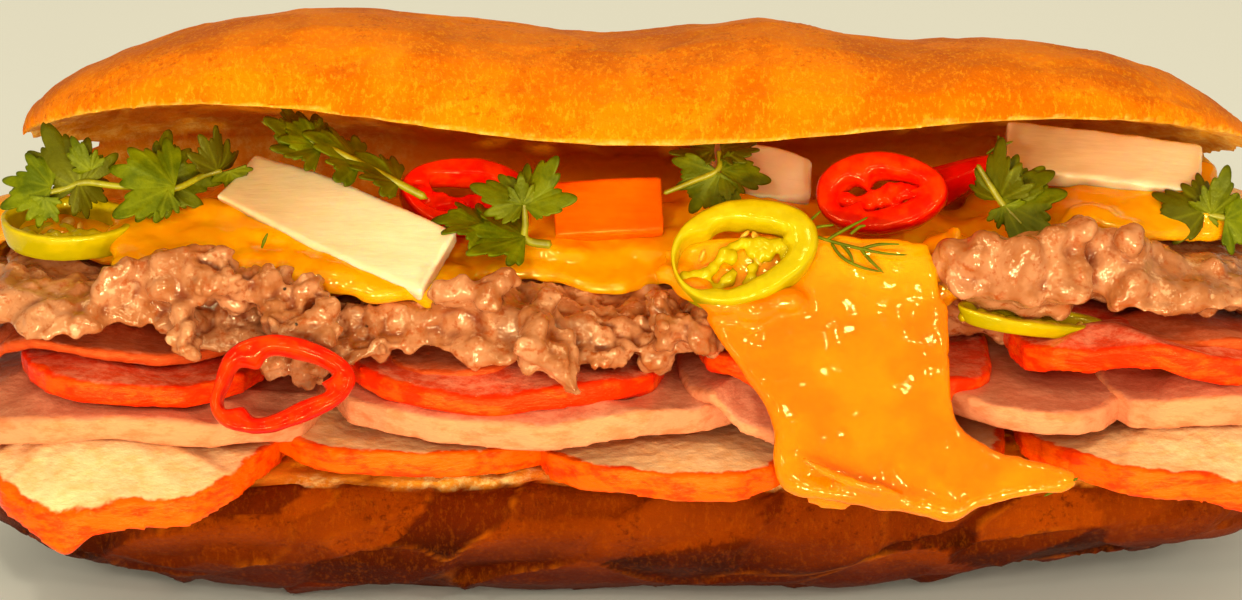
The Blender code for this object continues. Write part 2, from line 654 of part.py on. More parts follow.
def toppings():
    """name, kind, shape, (x, y) of the middle or (x, y, z) where it leans on slices, (pitch, roll, turn)."""
    front_ring = chilli_ring(11.0, 3.0, 4.0, squash=0.62, cone=0.95)
    left_ring = chilli_ring(10.0, 3.2, 6.0, squash=0.62, cone=0.9)
    right_ring = chilli_ring(10.0, 3.4, 6.0, squash=0.66, cone=0.88)
    thin_ring = chilli_ring(10.3, 2.0, 5.6, squash=0.72, cone=0.94)
    seeded_ring = chilli_ring(11.5, 2.6, 6.5, squash=0.72, cone=0.9)
    return (
        ("chilli_red_front", "red_chilli", front_ring, (-54.6, -40.5, 45.6), (62, 8, 6)),
        ("radish_front", "radish", slab(36.0, 12.5, 3.6, bow=1.2, nose=0.05), (-47.0, -13.0), (38, 16, -22)),
        ("radish_middle", "radish", slab(16.0, 10.5, 3.6, bow=0.5, nose=0.3), (19.0, 0.0), (36, 8, 4)),
        ("radish_right", "radish", slab(31.0, 11.0, 3.4, bow=0.4, nose=0.0), (73.0, 0.0), (26, 6, -4)),
        ("carrot_middle", "carrot", slab(17.0, 9.5, 3.4, bow=0.2, nose=0.0), (-5.0, -6.5), (48, -2, 2)),
        ("chilli_red_left", "red_chilli", left_ring, (-28.5, -4.0), (48, 6, 10)),
        ("chilli_green_left", "green_chilli", thin_ring, (-89.0, -12.0), (6, 2, 4)),
        ("chilli_green_middle", "green_chilli", seeded_ring, (14.5, -24.5), (44, -16, 14)),
        ("chilli_red_right", "red_chilli", right_ring, (37.4, -7.0), (56, -8, -8)),
        ("chilli_red_end", "red_chilli", chilli_end(14.0, 4.0), (50.0, 3.6), (0, -18, 8)),
    )


def add_toppings(pile, pieces):
    """Each topping is turned, then let down until it rests on what is under it."""
    for name, kind, (points, faces), place, turned in pieces:
        points = points @ rotation(*turned).T + np.array([*place, 0.0][:3])
        if len(place) == 2:
            points[:, 2] += pile.drop(points, faces)
        add_mesh(name, points, faces, kind, SMOOTH_TOPPING)
        pile.add(points, faces)


def main():
    clear_scene()
    lower = lower_half()
    add_loaf(lower, upper_half(), hinge())
    pile = Pile()
    pile.add(*lower)
    add_slices(pile)
    add_toppings(pile, chilli_under_spreads())
    add_spreads(pile)
    add_sauce(pile)
    add_toppings(pile, toppings())


main()
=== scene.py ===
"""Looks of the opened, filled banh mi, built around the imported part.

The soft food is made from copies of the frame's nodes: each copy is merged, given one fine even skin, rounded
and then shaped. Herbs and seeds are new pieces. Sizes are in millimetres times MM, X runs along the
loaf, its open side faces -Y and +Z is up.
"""

import math
import random

import bpy
import numpy as np
from mathutils import Matrix, Vector
from mathutils.bvhtree import BVHTree


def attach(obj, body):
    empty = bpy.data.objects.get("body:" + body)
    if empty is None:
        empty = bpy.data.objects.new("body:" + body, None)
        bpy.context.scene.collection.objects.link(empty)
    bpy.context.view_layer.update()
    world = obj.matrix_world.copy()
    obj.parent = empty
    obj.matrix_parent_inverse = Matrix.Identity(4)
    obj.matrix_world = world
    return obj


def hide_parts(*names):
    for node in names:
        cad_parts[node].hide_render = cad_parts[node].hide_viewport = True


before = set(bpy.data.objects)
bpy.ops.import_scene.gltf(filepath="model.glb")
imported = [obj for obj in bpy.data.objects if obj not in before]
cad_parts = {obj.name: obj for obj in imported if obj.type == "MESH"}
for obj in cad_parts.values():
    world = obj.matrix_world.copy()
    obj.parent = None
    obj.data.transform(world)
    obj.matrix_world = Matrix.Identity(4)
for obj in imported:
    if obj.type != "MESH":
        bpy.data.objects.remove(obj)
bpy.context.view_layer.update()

MM = 0.001


# ---------------------------------------------------------------- modelling helpers


def alone(piece):
    """Makes a piece the only selected and the active object."""
    bpy.ops.object.select_all(action="DESELECT")
    piece.select_set(True)
    bpy.context.view_layer.objects.active = piece


def merged_copy(node):
    """A copy of a frame node with its loose triangles joined up."""
    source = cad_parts[node]
    piece = bpy.data.objects.new(node + "_food", source.data.copy())
    bpy.context.scene.collection.objects.link(piece)
    piece.data.materials.clear()
    alone(piece)
    bpy.ops.object.mode_set(mode="EDIT")
    bpy.ops.mesh.select_all(action="SELECT")
    bpy.ops.mesh.remove_doubles(threshold=0.01 * MM)
    bpy.ops.object.mode_set(mode="OBJECT")
    return piece


def shaped(piece, kind, **values):
    """Adds a modifier, sets its values and applies it."""
    modifier = piece.modifiers.new(kind.lower(), kind)
    for name, value in values.items():
        setattr(modifier, name, value)
    alone(piece)
    bpy.ops.object.modifier_apply(modifier=modifier.name)
    return piece


def evened(piece, grain, rounds):
    """Gives a piece one fine even skin, and rounds its edges a little."""
    shaped(piece, "REMESH", mode="VOXEL", voxel_size=grain * MM, use_smooth_shade=True)
    if rounds:
        shaped(piece, "SMOOTH", factor=0.5, iterations=rounds)
    return piece


def read(piece, what="co"):
    """A mesh's points, or its normals, as rows of three numbers."""
    values = np.zeros(len(piece.data.vertices) * 3, np.float32)
    if what == "co":
        piece.data.vertices.foreach_get("co", values)
    else:
        piece.data.vertex_normals.foreach_get("vector", values)
    return values.reshape(-1, 3).astype(float)


def put(piece, points):
    piece.data.vertices.foreach_set("co", np.ascontiguousarray(points, np.float32).ravel())
    piece.data.update()


def pushed(piece, heights):
    """Moves a mesh's points along their normals by heights in millimetres."""
    put(piece, read(piece) + read(piece, "normal") * (np.asarray(heights) * MM)[:, None])
    return piece


def marked(piece, name, values):
    """Stores one number for each point of a piece, for its material to read."""
    layer = piece.data.attributes.new(name, "FLOAT", "POINT")
    layer.data.foreach_set("value", np.asarray(values, np.float32))


def joined(piece, *others):
    alone(piece)
    for other in others:
        other.select_set(True)
    bpy.ops.object.join()
    return piece


def whole(piece):
    """Keeps the largest body of a piece and drops stray bits."""
    alone(piece)
    bpy.ops.object.mode_set(mode="EDIT")
    bpy.ops.mesh.select_all(action="SELECT")
    bpy.ops.mesh.separate(type="LOOSE")
    bpy.ops.object.mode_set(mode="OBJECT")
    name = piece.name
    bodies = sorted(bpy.context.selected_objects, key=lambda body: len(body.data.vertices))
    for stray in bodies[:-1]:
        bpy.data.objects.remove(stray)
    bodies[-1].name = name
    return bodies[-1]


def served(piece, finish, slot, *nodes):
    """Gives a finished piece its material, its place in the part and the nodes that it stands for."""
    piece.data.materials.clear()
    piece.data.materials.append(finish)
    piece.data.shade_smooth()
    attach(piece, "root")
    if nodes:
        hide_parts(*nodes)
    return piece


def settled(piece, rounds):
    """Where the points would be after some rounds of averaging each with its neighbours."""
    ends = np.zeros(len(piece.data.edges) * 2, np.int32)
    piece.data.edges.foreach_get("vertices", ends)
    pairs = ends.reshape(-1, 2)
    here = np.concatenate([pairs[:, 0], pairs[:, 1]])
    there = np.concatenate([pairs[:, 1], pairs[:, 0]])
    points = read(piece)
    count = np.maximum(np.bincount(here, minlength=len(points)), 1)[:, None]
    for _ in range(rounds):
        sums = [np.bincount(here, points[there, axis], len(points)) for axis in range(3)]
        points = np.stack(sums, axis=1) / count
    return points


def hollows(piece, rounds):
    """How far each point lies under its settled surroundings, in millimetres."""
    return ((settled(piece, rounds) - read(piece)) * read(piece, "normal")).sum(axis=1) / MM


def scattered(name, model, spots):
    """One mesh of many copies of a model: each spot is a place, three sizes and a turning matrix."""
    points = read(model)
    faces = [tuple(face.vertices) for face in model.data.polygons]
    all_points, all_faces = [], []
    for place, sizes, turn in spots:
        start = len(all_points) * len(points)
        moved = (points * np.array(sizes)) @ np.array(turn).T + np.array(place)
        all_points.append(moved)
        all_faces += [tuple(corner + start for corner in face) for face in faces]
    mesh = bpy.data.meshes.new(name)
    mesh.from_pydata(np.concatenate(all_points).tolist(), [], all_faces)
    piece = bpy.data.objects.new(name, mesh)
    bpy.context.scene.collection.objects.link(piece)
    return piece


def ball(detail=2):
    """A small round lump to copy, one metre in radius."""
    bpy.ops.object.select_all(action="DESELECT")
    bpy.ops.mesh.primitive_ico_sphere_add(subdivisions=detail, radius=1.0, location=(0, 0, 0))
    return bpy.context.active_object


def turned(rng):
    angles = [rng.uniform(0, 2 * math.pi) for _ in range(3)]
    return Matrix.Rotation(angles[0], 3, "X") @ Matrix.Rotation(angles[1], 3, "Y") @ Matrix.Rotation(angles[2], 3, "Z")


def lumps(name, spots, detail=2):
    """Many balls in one mesh."""
    model = ball(detail)
    piece = scattered(name, model, spots)
    bpy.data.objects.remove(model)
    return piece


def curve_at(path, share):
    """Points at shares of the way along a smooth line through the path's points."""
    path = np.asarray(path, float)
    spot = np.clip(share, 0, 1) * (len(path) - 1)
    first = np.minimum(spot.astype(int), len(path) - 2)
    t = (spot - first)[:, None]
    before, start, end, after = (path[np.clip(first + k, 0, len(path) - 1)] for k in (-1, 0, 1, 2))
    bend = 2 * before - 5 * start + 4 * end - after
    return 0.5 * (2 * start + (end - before) * t + bend * t**2 + (3 * start - before - 3 * end + after) * t**3)


def stem(name, path, radii, sides=8, rings=22):
    """A round stem along a path in millimetres, closed at both ends, with radii spread evenly along it."""
    bpy.ops.object.select_all(action="DESELECT")
    bpy.ops.mesh.primitive_uv_sphere_add(segments=sides, ring_count=rings, radius=1.0, location=(0, 0, 0))
    piece = bpy.context.active_object
    piece.name = name
    points = read(piece)
    share = np.arccos(np.clip(points[:, 2], -1, 1)) / math.pi
    around = np.arctan2(points[:, 1], points[:, 0])
    radius = np.interp(share, np.linspace(0, 1, len(radii)), radii) * (points[:, 2] ** 2 < 0.9999)
    ahead = curve_at(path, share + 0.02) - curve_at(path, share - 0.02)
    ahead /= np.linalg.norm(ahead, axis=1)[:, None]
    side = np.cross(ahead, (0.21, 0.55, 0.81))
    side /= np.linalg.norm(side, axis=1)[:, None]
    across = np.cross(side, ahead)
    ring = side * np.cos(around)[:, None] + across * np.sin(around)[:, None]
    put(piece, (curve_at(path, share) + ring * radius[:, None]) * MM)
    alone(piece)
    bpy.ops.object.mode_set(mode="EDIT")
    bpy.ops.mesh.select_all(action="SELECT")
    bpy.ops.mesh.normals_make_consistent(inside=False)
    bpy.ops.object.mode_set(mode="OBJECT")
    return piece


# ---------------------------------------------------------------- noise, in millimetres


def lattice(cells, seed):
    """A random number from 0 to 1 for each whole-numbered cell."""
    mixed = cells[:, 0] * 73856093 ^ cells[:, 1] * 19349663 ^ cells[:, 2] * 83492791 ^ seed * 668265263
    mixed = (mixed ^ (mixed >> 13)) * 1274126177
    mixed = mixed ^ (mixed >> 16)
    return (mixed & 0xFFFFFF) / 0xFFFFFF


def waves(points, size, seed, octaves=1):
    """Smooth noise from -1 to 1 whose features are about size millimetres across."""
    total, weight, amount = np.zeros(len(points)), 0.0, 1.0
    for octave in range(octaves):
        spots = points / (size * MM) * 2**octave + 17.3 * octave
        cell = np.floor(spots).astype(np.int64)
        share = spots - cell
        share = share * share * (3 - 2 * share)
        for corner in range(8):
            offset = np.array([corner & 1, corner >> 1 & 1, corner >> 2])
            part = np.abs(1 - offset - share).prod(axis=1)
            total += amount * part * (2 * lattice(cell + offset, seed + octave) - 1)
        weight += amount
        amount *= 0.5
    return total / weight


def pebbles(points, size, seed, stretch=(1, 1, 1)):
    """For each point: how far, in cells, it is from the border between scattered patches, the slant of its
    patch there, and a random tone of its patch."""
    spots = points / (size * MM * np.array(stretch))
    cell = np.floor(spots).astype(np.int64)
    near = np.full(len(points), 9.0)
    second, slant, tone = near.copy(), np.zeros(len(points)), np.zeros(len(points))
    for step in np.ndindex(3, 3, 3):
        there = cell + np.array(step) - 1
        jitter = np.stack([lattice(there, seed + axis) for axis in range(3)], axis=1)
        offset = spots - there - jitter
        away = np.linalg.norm(offset, axis=1)
        closer = away < near
        second = np.where(closer, near, np.minimum(second, away))
        near = np.where(closer, away, near)
        tilt = np.stack([lattice(there, seed + 7 + axis) for axis in range(3)], axis=1) - 0.5
        slant = np.where(closer, (offset * tilt).sum(axis=1), slant)
        tone = np.where(closer, jitter[:, 0], tone)
    return second - near, slant, tone


def ease(values, low, high):
    """0 below low, 1 above high and smooth between."""
    share = np.clip((np.asarray(values, float) - low) / (high - low), 0, 1)
    return share * share * (3 - 2 * share)


# ---------------------------------------------------------------- material helpers


class Finish:
    """A Principled material and the nodes that feed it."""

    def __init__(self, name, **sockets):
        self.material = bpy.data.materials.new(name)
        self.material.use_nodes = True
        self.tree = self.material.node_tree
        self.shader = self.tree.nodes["Principled BSDF"]
        for socket, value in sockets.items():
            self.shader.inputs[socket.replace("_", " ")].default_value = value
        self.place = self.tree.nodes.new("ShaderNodeTexCoord").outputs["Object"]

    def link(self, source, target):
        self.tree.links.new(source, target)

    def number(self, name):
        """A number stored on the mesh."""
        node = self.tree.nodes.new("ShaderNodeAttribute")
        node.attribute_name = name
        return node.outputs["Fac"]

    def cloud(self, size, detail=3.0, rough=0.55, stretch=(1, 1, 1)):
        """Noise with features about size millimetres across."""
        mapping = self.tree.nodes.new("ShaderNodeMapping")
        mapping.inputs["Scale"].default_value = [1 / share for share in stretch]
        self.link(self.place, mapping.inputs["Vector"])
        node = self.tree.nodes.new("ShaderNodeTexNoise")
        node.inputs["Scale"].default_value = 1 / (size * MM)
        node.inputs["Detail"].default_value = detail
        node.inputs["Roughness"].default_value = rough
        self.link(mapping.outputs["Vector"], node.inputs["Vector"])
        return node.outputs["Fac"]

    def spots(self, size, feature="F1"):
        """Distance to scattered spots about size millimetres apart."""
        node = self.tree.nodes.new("ShaderNodeTexVoronoi")
        node.feature = feature
        node.inputs["Scale"].default_value = 1 / (size * MM)
        self.link(self.place, node.inputs["Vector"])
        return node.outputs["Distance"]

    def span(self, source, low, high, out_low=0.0, out_high=1.0):
        """Maps low..high to out_low..out_high, smoothly."""
        node = self.tree.nodes.new("ShaderNodeMapRange")
        node.interpolation_type = "SMOOTHSTEP"
        for socket, value in zip(("From Min", "From Max", "To Min", "To Max"), (low, high, out_low, out_high)):
            node.inputs[socket].default_value = value
        self.link(source, node.inputs["Value"])
        return node.outputs["Result"]

    def sum(self, a, b, how="ADD"):
        node = self.tree.nodes.new("ShaderNodeMath")
        node.operation = how
        for socket, value in zip(node.inputs, (a, b)):
            if isinstance(value, (int, float)):
                socket.default_value = value
            else:
                self.link(value, socket)
        return node.outputs["Value"]

    def blend(self, factor, a, b):
        """A colour between a and b."""
        node = self.tree.nodes.new("ShaderNodeMix")
        node.data_type = "RGBA"
        colours = [socket for socket in node.inputs if socket.type == "RGBA"]
        self.link(factor, node.inputs[0])
        for socket, value in zip(colours, (a, b)):
            if isinstance(value, tuple):
                socket.default_value = (*value, 1.0)
            else:
                self.link(value, socket)
        return [socket for socket in node.outputs if socket.type == "RGBA"][0]

    def colour(self, source):
        self.link(source, self.shader.inputs["Base Color"])
        return self

    def relief(self, height, depth):
        """Fine relief, depth in millimetres."""
        node = self.tree.nodes.new("ShaderNodeBump")
        node.inputs["Distance"].default_value = depth * MM
        self.link(height, node.inputs["Height"])
        self.link(node.outputs["Normal"], self.shader.inputs["Normal"])
        return self

    def roughness(self, source):
        self.link(source, self.shader.inputs["Roughness"])
        return self


def glow(radius):
    """Socket values for light that wanders under a moist surface."""
    return {
        "Subsurface_Weight": 1.0,
        "Subsurface_Radius": (1.0, 0.4, 0.15),
        "Subsurface_Scale": radius * MM,
    }


# ---------------------------------------------------------------- camera, light and floor

VIEW_TARGET = Vector((-3 * MM, 0, 43 * MM))
VIEW_DISTANCE = 0.62
VIEW_ELEVATION = math.radians(22)
VIEW_WIDTH = 0.19872  # width of the view at the target
SENSOR = 36.0


def add_camera():
    camera = bpy.data.cameras.new("camera")
    camera.sensor_width = SENSOR
    camera.lens = SENSOR * VIEW_DISTANCE / VIEW_WIDTH
    holder = bpy.data.objects.new("camera", camera)
    bpy.context.scene.collection.objects.link(holder)
    back = Vector((0, -math.cos(VIEW_ELEVATION), math.sin(VIEW_ELEVATION)))
    holder.location = VIEW_TARGET + back * VIEW_DISTANCE
    holder.rotation_euler = (-back).to_track_quat("-Z", "Y").to_euler()
    bpy.context.scene.camera = holder


LAMPS = (  # places of the lamps, in metres, and their share of the light
    ((-0.36, -0.62, 0.44), 0.55),
    ((-0.13, -0.72, 0.42), 0.50),
    ((0.15, -0.72, 0.42), 0.50),
    ((0.38, -0.60, 0.44), 0.55),
    ((-0.26, -0.80, 0.05), 2.4),
    ((0.0, -0.84, 0.07), 2.1),
    ((0.24, -0.80, 0.05), 2.4),
    ((-0.22, -0.40, 0.74), 0.6),
    ((0.20, -0.36, 0.76), 0.6),
    ((0.0, 0.50, 0.60), 0.7),
)
LAMP_SIZE = 0.07
LAMP_ENERGY = 1.05
LAMP_COLOUR = (1.0, 0.89, 0.60)
AIR_COLOUR = (1.0, 0.88, 0.58, 1.0)
AIR_STRENGTH = 0.56
FLOOR_COLOUR = (0.88, 0.92, 1.0, 1.0)


def add_lamp(name, place, energy):
    lamp = bpy.data.lights.new(name, "AREA")
    lamp.shape = "DISK"
    lamp.size = LAMP_SIZE
    lamp.energy = energy
    lamp.color = LAMP_COLOUR
    holder = bpy.data.objects.new(name, lamp)
    bpy.context.scene.collection.objects.link(holder)
    holder.location = place
    holder.rotation_euler = (VIEW_TARGET - Vector(place)).to_track_quat("-Z", "Y").to_euler()


def add_studio():
    bpy.context.scene.view_settings.view_transform = "Standard"
    world = bpy.data.worlds.new("studio")
    bpy.context.scene.world = world
    world.use_nodes = True
    background = world.node_tree.nodes["Background"]
    background.inputs["Color"].default_value = AIR_COLOUR
    background.inputs["Strength"].default_value = AIR_STRENGTH
    for number, (place, share) in enumerate(LAMPS):
        add_lamp(f"lamp_{number}", place, LAMP_ENERGY * share)
    bpy.ops.object.select_all(action="DESELECT")
    bpy.ops.mesh.primitive_plane_add(size=6.0, location=(0, 0, 0))
    floor = bpy.context.active_object
    floor.name = "floor"
    pale = Finish("pale_floor", Roughness=0.8, Base_Color=FLOOR_COLOUR, Specular_IOR_Level=0.1)
    floor.data.materials.append(pale.material)


# ---------------------------------------------------------------- finishes


def crust_finish():
    made = Finish("baked_crust", Roughness=0.5, Specular_IOR_Level=0.07, Specular_Tint=(1.0, 0.5, 0.06, 1.0))
    speck = made.span(made.cloud(1.0, 5.0, 0.8, (0.7, 1.0, 1.8)), 0.50, 0.62)
    scorch = made.span(made.cloud(1.1, 4.0, 0.8), 0.50, 0.64)
    zone = made.span(made.cloud(9.0, 3.0), 0.42, 0.6)
    patch = made.span(made.sum(made.cloud(14.0, 4.0), made.sum(made.number("tone"), 0.1, "MULTIPLY")), 0.42, 0.66)
    top = made.blend(patch, (0.66, 0.128, 0.0003), (0.88, 0.205, 0.0008))
    top = made.blend(made.sum(made.sum(scorch, zone, "MULTIPLY"), 0.8, "MULTIPLY"), top, (0.58, 0.085, 0.0003))
    top = made.blend(made.sum(speck, 0.42, "MULTIPLY"), top, (1.0, 0.42, 0.012))
    top = made.blend(made.sum(made.number("ridge"), 0.15, "MULTIPLY"), top, (1.0, 0.42, 0.02))
    # The lower crust's colours: partly its real darker bake, partly painted shade, darkest in the band near the bottom.
    under = made.blend(made.number("tone"), (0.022, 0.0014, 0.0001), (0.075, 0.0055, 0.0001))
    # Each facet's tone here is partly random bake and partly painted light and shade on its plane.
    shoulder = made.blend(made.number("tone"), (0.09, 0.007, 0.0001), (0.26, 0.034, 0.0002))
    under = made.blend(made.number("side"), under, shoulder)
    under = made.blend(made.sum(made.sum(scorch, zone, "MULTIPLY"), 0.7, "MULTIPLY"), under, (0.07, 0.005, 0.0002))
    under = made.blend(made.sum(speck, 0.10, "MULTIPLY"), under, (0.56, 0.12, 0.002))
    under = made.blend(made.sum(made.number("ridge"), 0.5, "MULTIPLY"), under, (0.46, 0.10, 0.001))
    # The lower crust gets painted shade as well as its darker bake, under the lit golden top.
    skin = made.blend(made.number("upper"), under, top)
    flake = made.span(made.cloud(1.8, 5.0, 0.75), 0.42, 0.66)
    high = made.blend(flake, (0.88, 0.36, 0.014), (1.0, 0.62, 0.12))
    low = made.blend(made.sum(flake, made.span(made.cloud(16.0, 2.0), 0.44, 0.56), "MULTIPLY"), (0.80, 0.27, 0.02), (1.0, 0.68, 0.26))
    crumb = made.blend(made.number("upper"), low, high)
    # deep: painted warm shade, a deeper orange farther in from the crust, where the mouth lies in shade.
    deep = made.blend(made.number("depth"), crumb, (1.0, 0.29, 0.001))
    made.colour(made.blend(made.number("crumb"), skin, deep))
    grain = made.sum(made.cloud(0.8, 5.0, 0.8), made.sum(made.spots(1.8), 0.35, "MULTIPLY"))
    made.relief(grain, 0.30)
    return made.material


def slice_finish(name, face, face_2, rim, rim_2, hollow_shade_colour, edge):
    """Sliced meat: face colours, rim colours, a painted shade colour for its hollows, and how far in from the rim its
    colour reaches, in millimetres.
    """
    made = Finish(name, Roughness=0.24, Specular_IOR_Level=0.36, Specular_Tint=(1.0, 0.58, 0.14, 1.0))
    wander = made.span(made.cloud(4.0, 3.0), 0.3, 0.7, -0.4, 0.8)
    inside = made.span(made.sum(made.number("rim_mm"), wander, "SUBTRACT"), edge * 0.4, edge)
    fibre = made.span(made.cloud(2.6, 5.0, 0.7, (1.3, 1.3, 0.6)), 0.38, 0.66)
    meat = made.blend(fibre, face, face_2)
    glaze = made.blend(made.span(made.cloud(3.0, 5.0, 0.65, (1.6, 1.6, 0.7)), 0.44, 0.64), rim, rim_2)
    mixed = made.blend(inside, glaze, meat)
    # Painted shade darkens the slice in its hollows.
    made.colour(made.blend(made.sum(made.number("hollow_shade"), 0.8, "MULTIPLY"), mixed, hollow_shade_colour))
    made.relief(made.cloud(0.9, 4.0, 0.6, (1.5, 1.5, 0.5)), 0.20)
    return made.material


def roast_finish():
    face, face_2 = (0.93, 0.58, 0.30), (0.90, 0.47, 0.19)
    return slice_finish("glazed_roast", face, face_2, (0.92, 0.100, 0.0002), (0.82, 0.036, 0.0001), (0.62, 0.05, 0.0002), 1.3)


def pork_roll_finish():
    face, face_2 = (0.58, 0.183, 0.096), (0.70, 0.265, 0.148)
    return slice_finish("pork_roll", face, face_2, (0.74, 0.26, 0.12), (0.64, 0.18, 0.07), (0.42, 0.055, 0.010), 0.8)


def red_ham_finish():
    face, face_2 = (0.80, 0.060, 0.016), (0.94, 0.23, 0.12)
    return slice_finish("red_rimmed_ham", face, face_2, (0.90, 0.022, 0.0001), (0.92, 0.072, 0.002), (0.40, 0.010, 0.0002), 1.3)


def pink_ham_finish():
    face, face_2 = (0.62, 0.100, 0.030), (0.74, 0.18, 0.08)
    return slice_finish("pink_ham", face, face_2, (0.60, 0.07, 0.012), (0.50, 0.045, 0.006), (0.22, 0.010, 0.001), 0.8)


def minced_finish():
    made = Finish("minced_meat", Roughness=0.13, Specular_IOR_Level=0.65, Specular_Tint=(1.0, 0.85, 0.6, 1.0))
    paste = made.blend(made.span(made.cloud(5.0, 3.0), 0.35, 0.65), (0.37, 0.110, 0.030), (0.54, 0.212, 0.088))
    meat = made.blend(made.span(made.cloud(1.6, 4.0, 0.65), 0.50, 0.68), paste, (0.38, 0.080, 0.014))
    # Paler patches: partly fat, partly painted highlight on the mince.
    fat_and_highlight = made.blend(made.span(made.cloud(2.4, 3.0, 0.6), 0.58, 0.72), meat, (0.72, 0.36, 0.18))
    # Painted shade: crevices between the lumps are darkened.
    with_painted_shade = made.blend(made.number("hollow_shade"), fat_and_highlight, (0.17, 0.020, 0.001))
    pepper = made.sum(made.span(made.spots(4.5), 0.05, 0.09, 1.0, 0.0), made.span(made.cloud(9.0), 0.5, 0.55), "MULTIPLY")
    made.colour(made.blend(pepper, with_painted_shade, (0.03, 0.008, 0.002)))
    made.relief(made.cloud(1.3, 3.0, 0.5), 0.16)
    return made.material


def sauce_finish():
    made = Finish("egg_sauce", Roughness=0.08, Specular_IOR_Level=0.6, Specular_Tint=(1.0, 0.9, 0.35, 1.0), **glow(0.9))
    shade = made.span(made.cloud(10.0, 3.0), 0.35, 0.65)
    lying = made.blend(shade, (0.86, 0.315, 0.0005), (0.93, 0.42, 0.002))
    hanging = made.blend(shade, (0.84, 0.180, 0.0001), (0.92, 0.24, 0.0003))
    made.colour(made.blend(made.number("front"), lying, hanging))
    made.relief(made.cloud(4.2, 2.0, 0.45, (1.3, 1.0, 0.8)), 0.46)
    return made.material


def root_finish(name, pale, deep, painted_shade_colour, bright, tint, glow_mm):
    made = Finish(name, Roughness=0.22, Specular_IOR_Level=0.45, Specular_Tint=tint, **glow(glow_mm))
    cloudy = made.blend(made.span(made.cloud(6.0, 3.0, 0.5, (3, 1, 1)), 0.35, 0.7), pale, deep)
    # Painted shade darkens the piece where its shade number is high.
    with_painted_shade = made.blend(made.number("shade"), cloudy, painted_shade_colour)
    made.colour(made.blend(made.number("edge"), with_painted_shade, bright))
    made.relief(made.cloud(0.8, 3.0, 0.5, (5, 1, 1)), 0.08)
    return made.material


def chilli_finish(name, skin, skin_2, flesh, pith, tint):
    made = Finish(name, Roughness=0.14, Specular_IOR_Level=0.5, Specular_Tint=tint)
    outer = made.blend(made.span(made.cloud(6.0, 2.0), 0.4, 0.65), skin, skin_2)
    cut = made.blend(made.span(made.cloud(2.6, 3.0), 0.35, 0.75), flesh, pith)
    made.colour(made.blend(made.number("flesh"), outer, cut))
    made.relief(made.cloud(1.2, 3.0), 0.06)
    return made.material


def leaf_finish():
    made = Finish("coriander_leaf", Roughness=0.38, Specular_IOR_Level=0.25, Specular_Tint=(0.9, 1.0, 0.25, 1.0))
    green = made.blend(made.span(made.cloud(4.0, 4.0, 0.6), 0.35, 0.65), (0.062, 0.084, 0.0002), (0.142, 0.165, 0.0004))
    green = made.blend(made.number("shade"), green, (0.07, 0.055, 0.0006))
    made.colour(made.blend(made.number("vein"), green, (0.34, 0.36, 0.012)))
    made.relief(made.sum(made.cloud(0.8, 3.0), made.sum(made.number("vein"), -0.8, "MULTIPLY")), 0.12)
    return made.material


def stem_finish():
    made = Finish("herb_stem", Roughness=0.35, Specular_IOR_Level=0.4)
    made.colour(made.blend(made.span(made.cloud(3.0, 3.0), 0.35, 0.65), (0.20, 0.17, 0.001), (0.34, 0.31, 0.006)))
    made.relief(made.cloud(0.6, 2.0, 0.5, (1, 1, 4)), 0.05)
    return made.material


def seed_finish():
    made = Finish("chilli_seed", Roughness=0.35, Specular_IOR_Level=0.4)
    made.colour(made.blend(made.span(made.cloud(1.0, 2.0), 0.4, 0.6), (0.90, 0.52, 0.05), (0.84, 0.38, 0.02)))
    made.relief(made.cloud(0.4, 2.0), 0.05)
    return made.material


# ---------------------------------------------------------------- the loaf

MOUTH = Vector((0, -5 * MM, 50 * MM))  # the middle of the gap between the halves, seen from the end


def crumb_sides(piece):
    """The faces of a merged loaf that look into its mouth, as one tree, and the rest as another."""
    inner, outer = [], []
    for face in piece.data.polygons:
        inward = MOUTH - face.center
        inward.x = 0
        inner_face = face.normal.dot(inward.normalized()) > 0.2 and abs(face.normal.x) < 0.8
        (inner if inner_face else outer).append(tuple(face.vertices))
    points = [vertex.co.copy() for vertex in piece.data.vertices]
    return BVHTree.FromPolygons(points, inner), BVHTree.FromPolygons(points, outer)


def distances(tree, points):
    """How far each point is from the nearest face of a tree, in millimetres."""
    return np.array([tree.find_nearest(Vector(point))[3] for point in points]) / MM


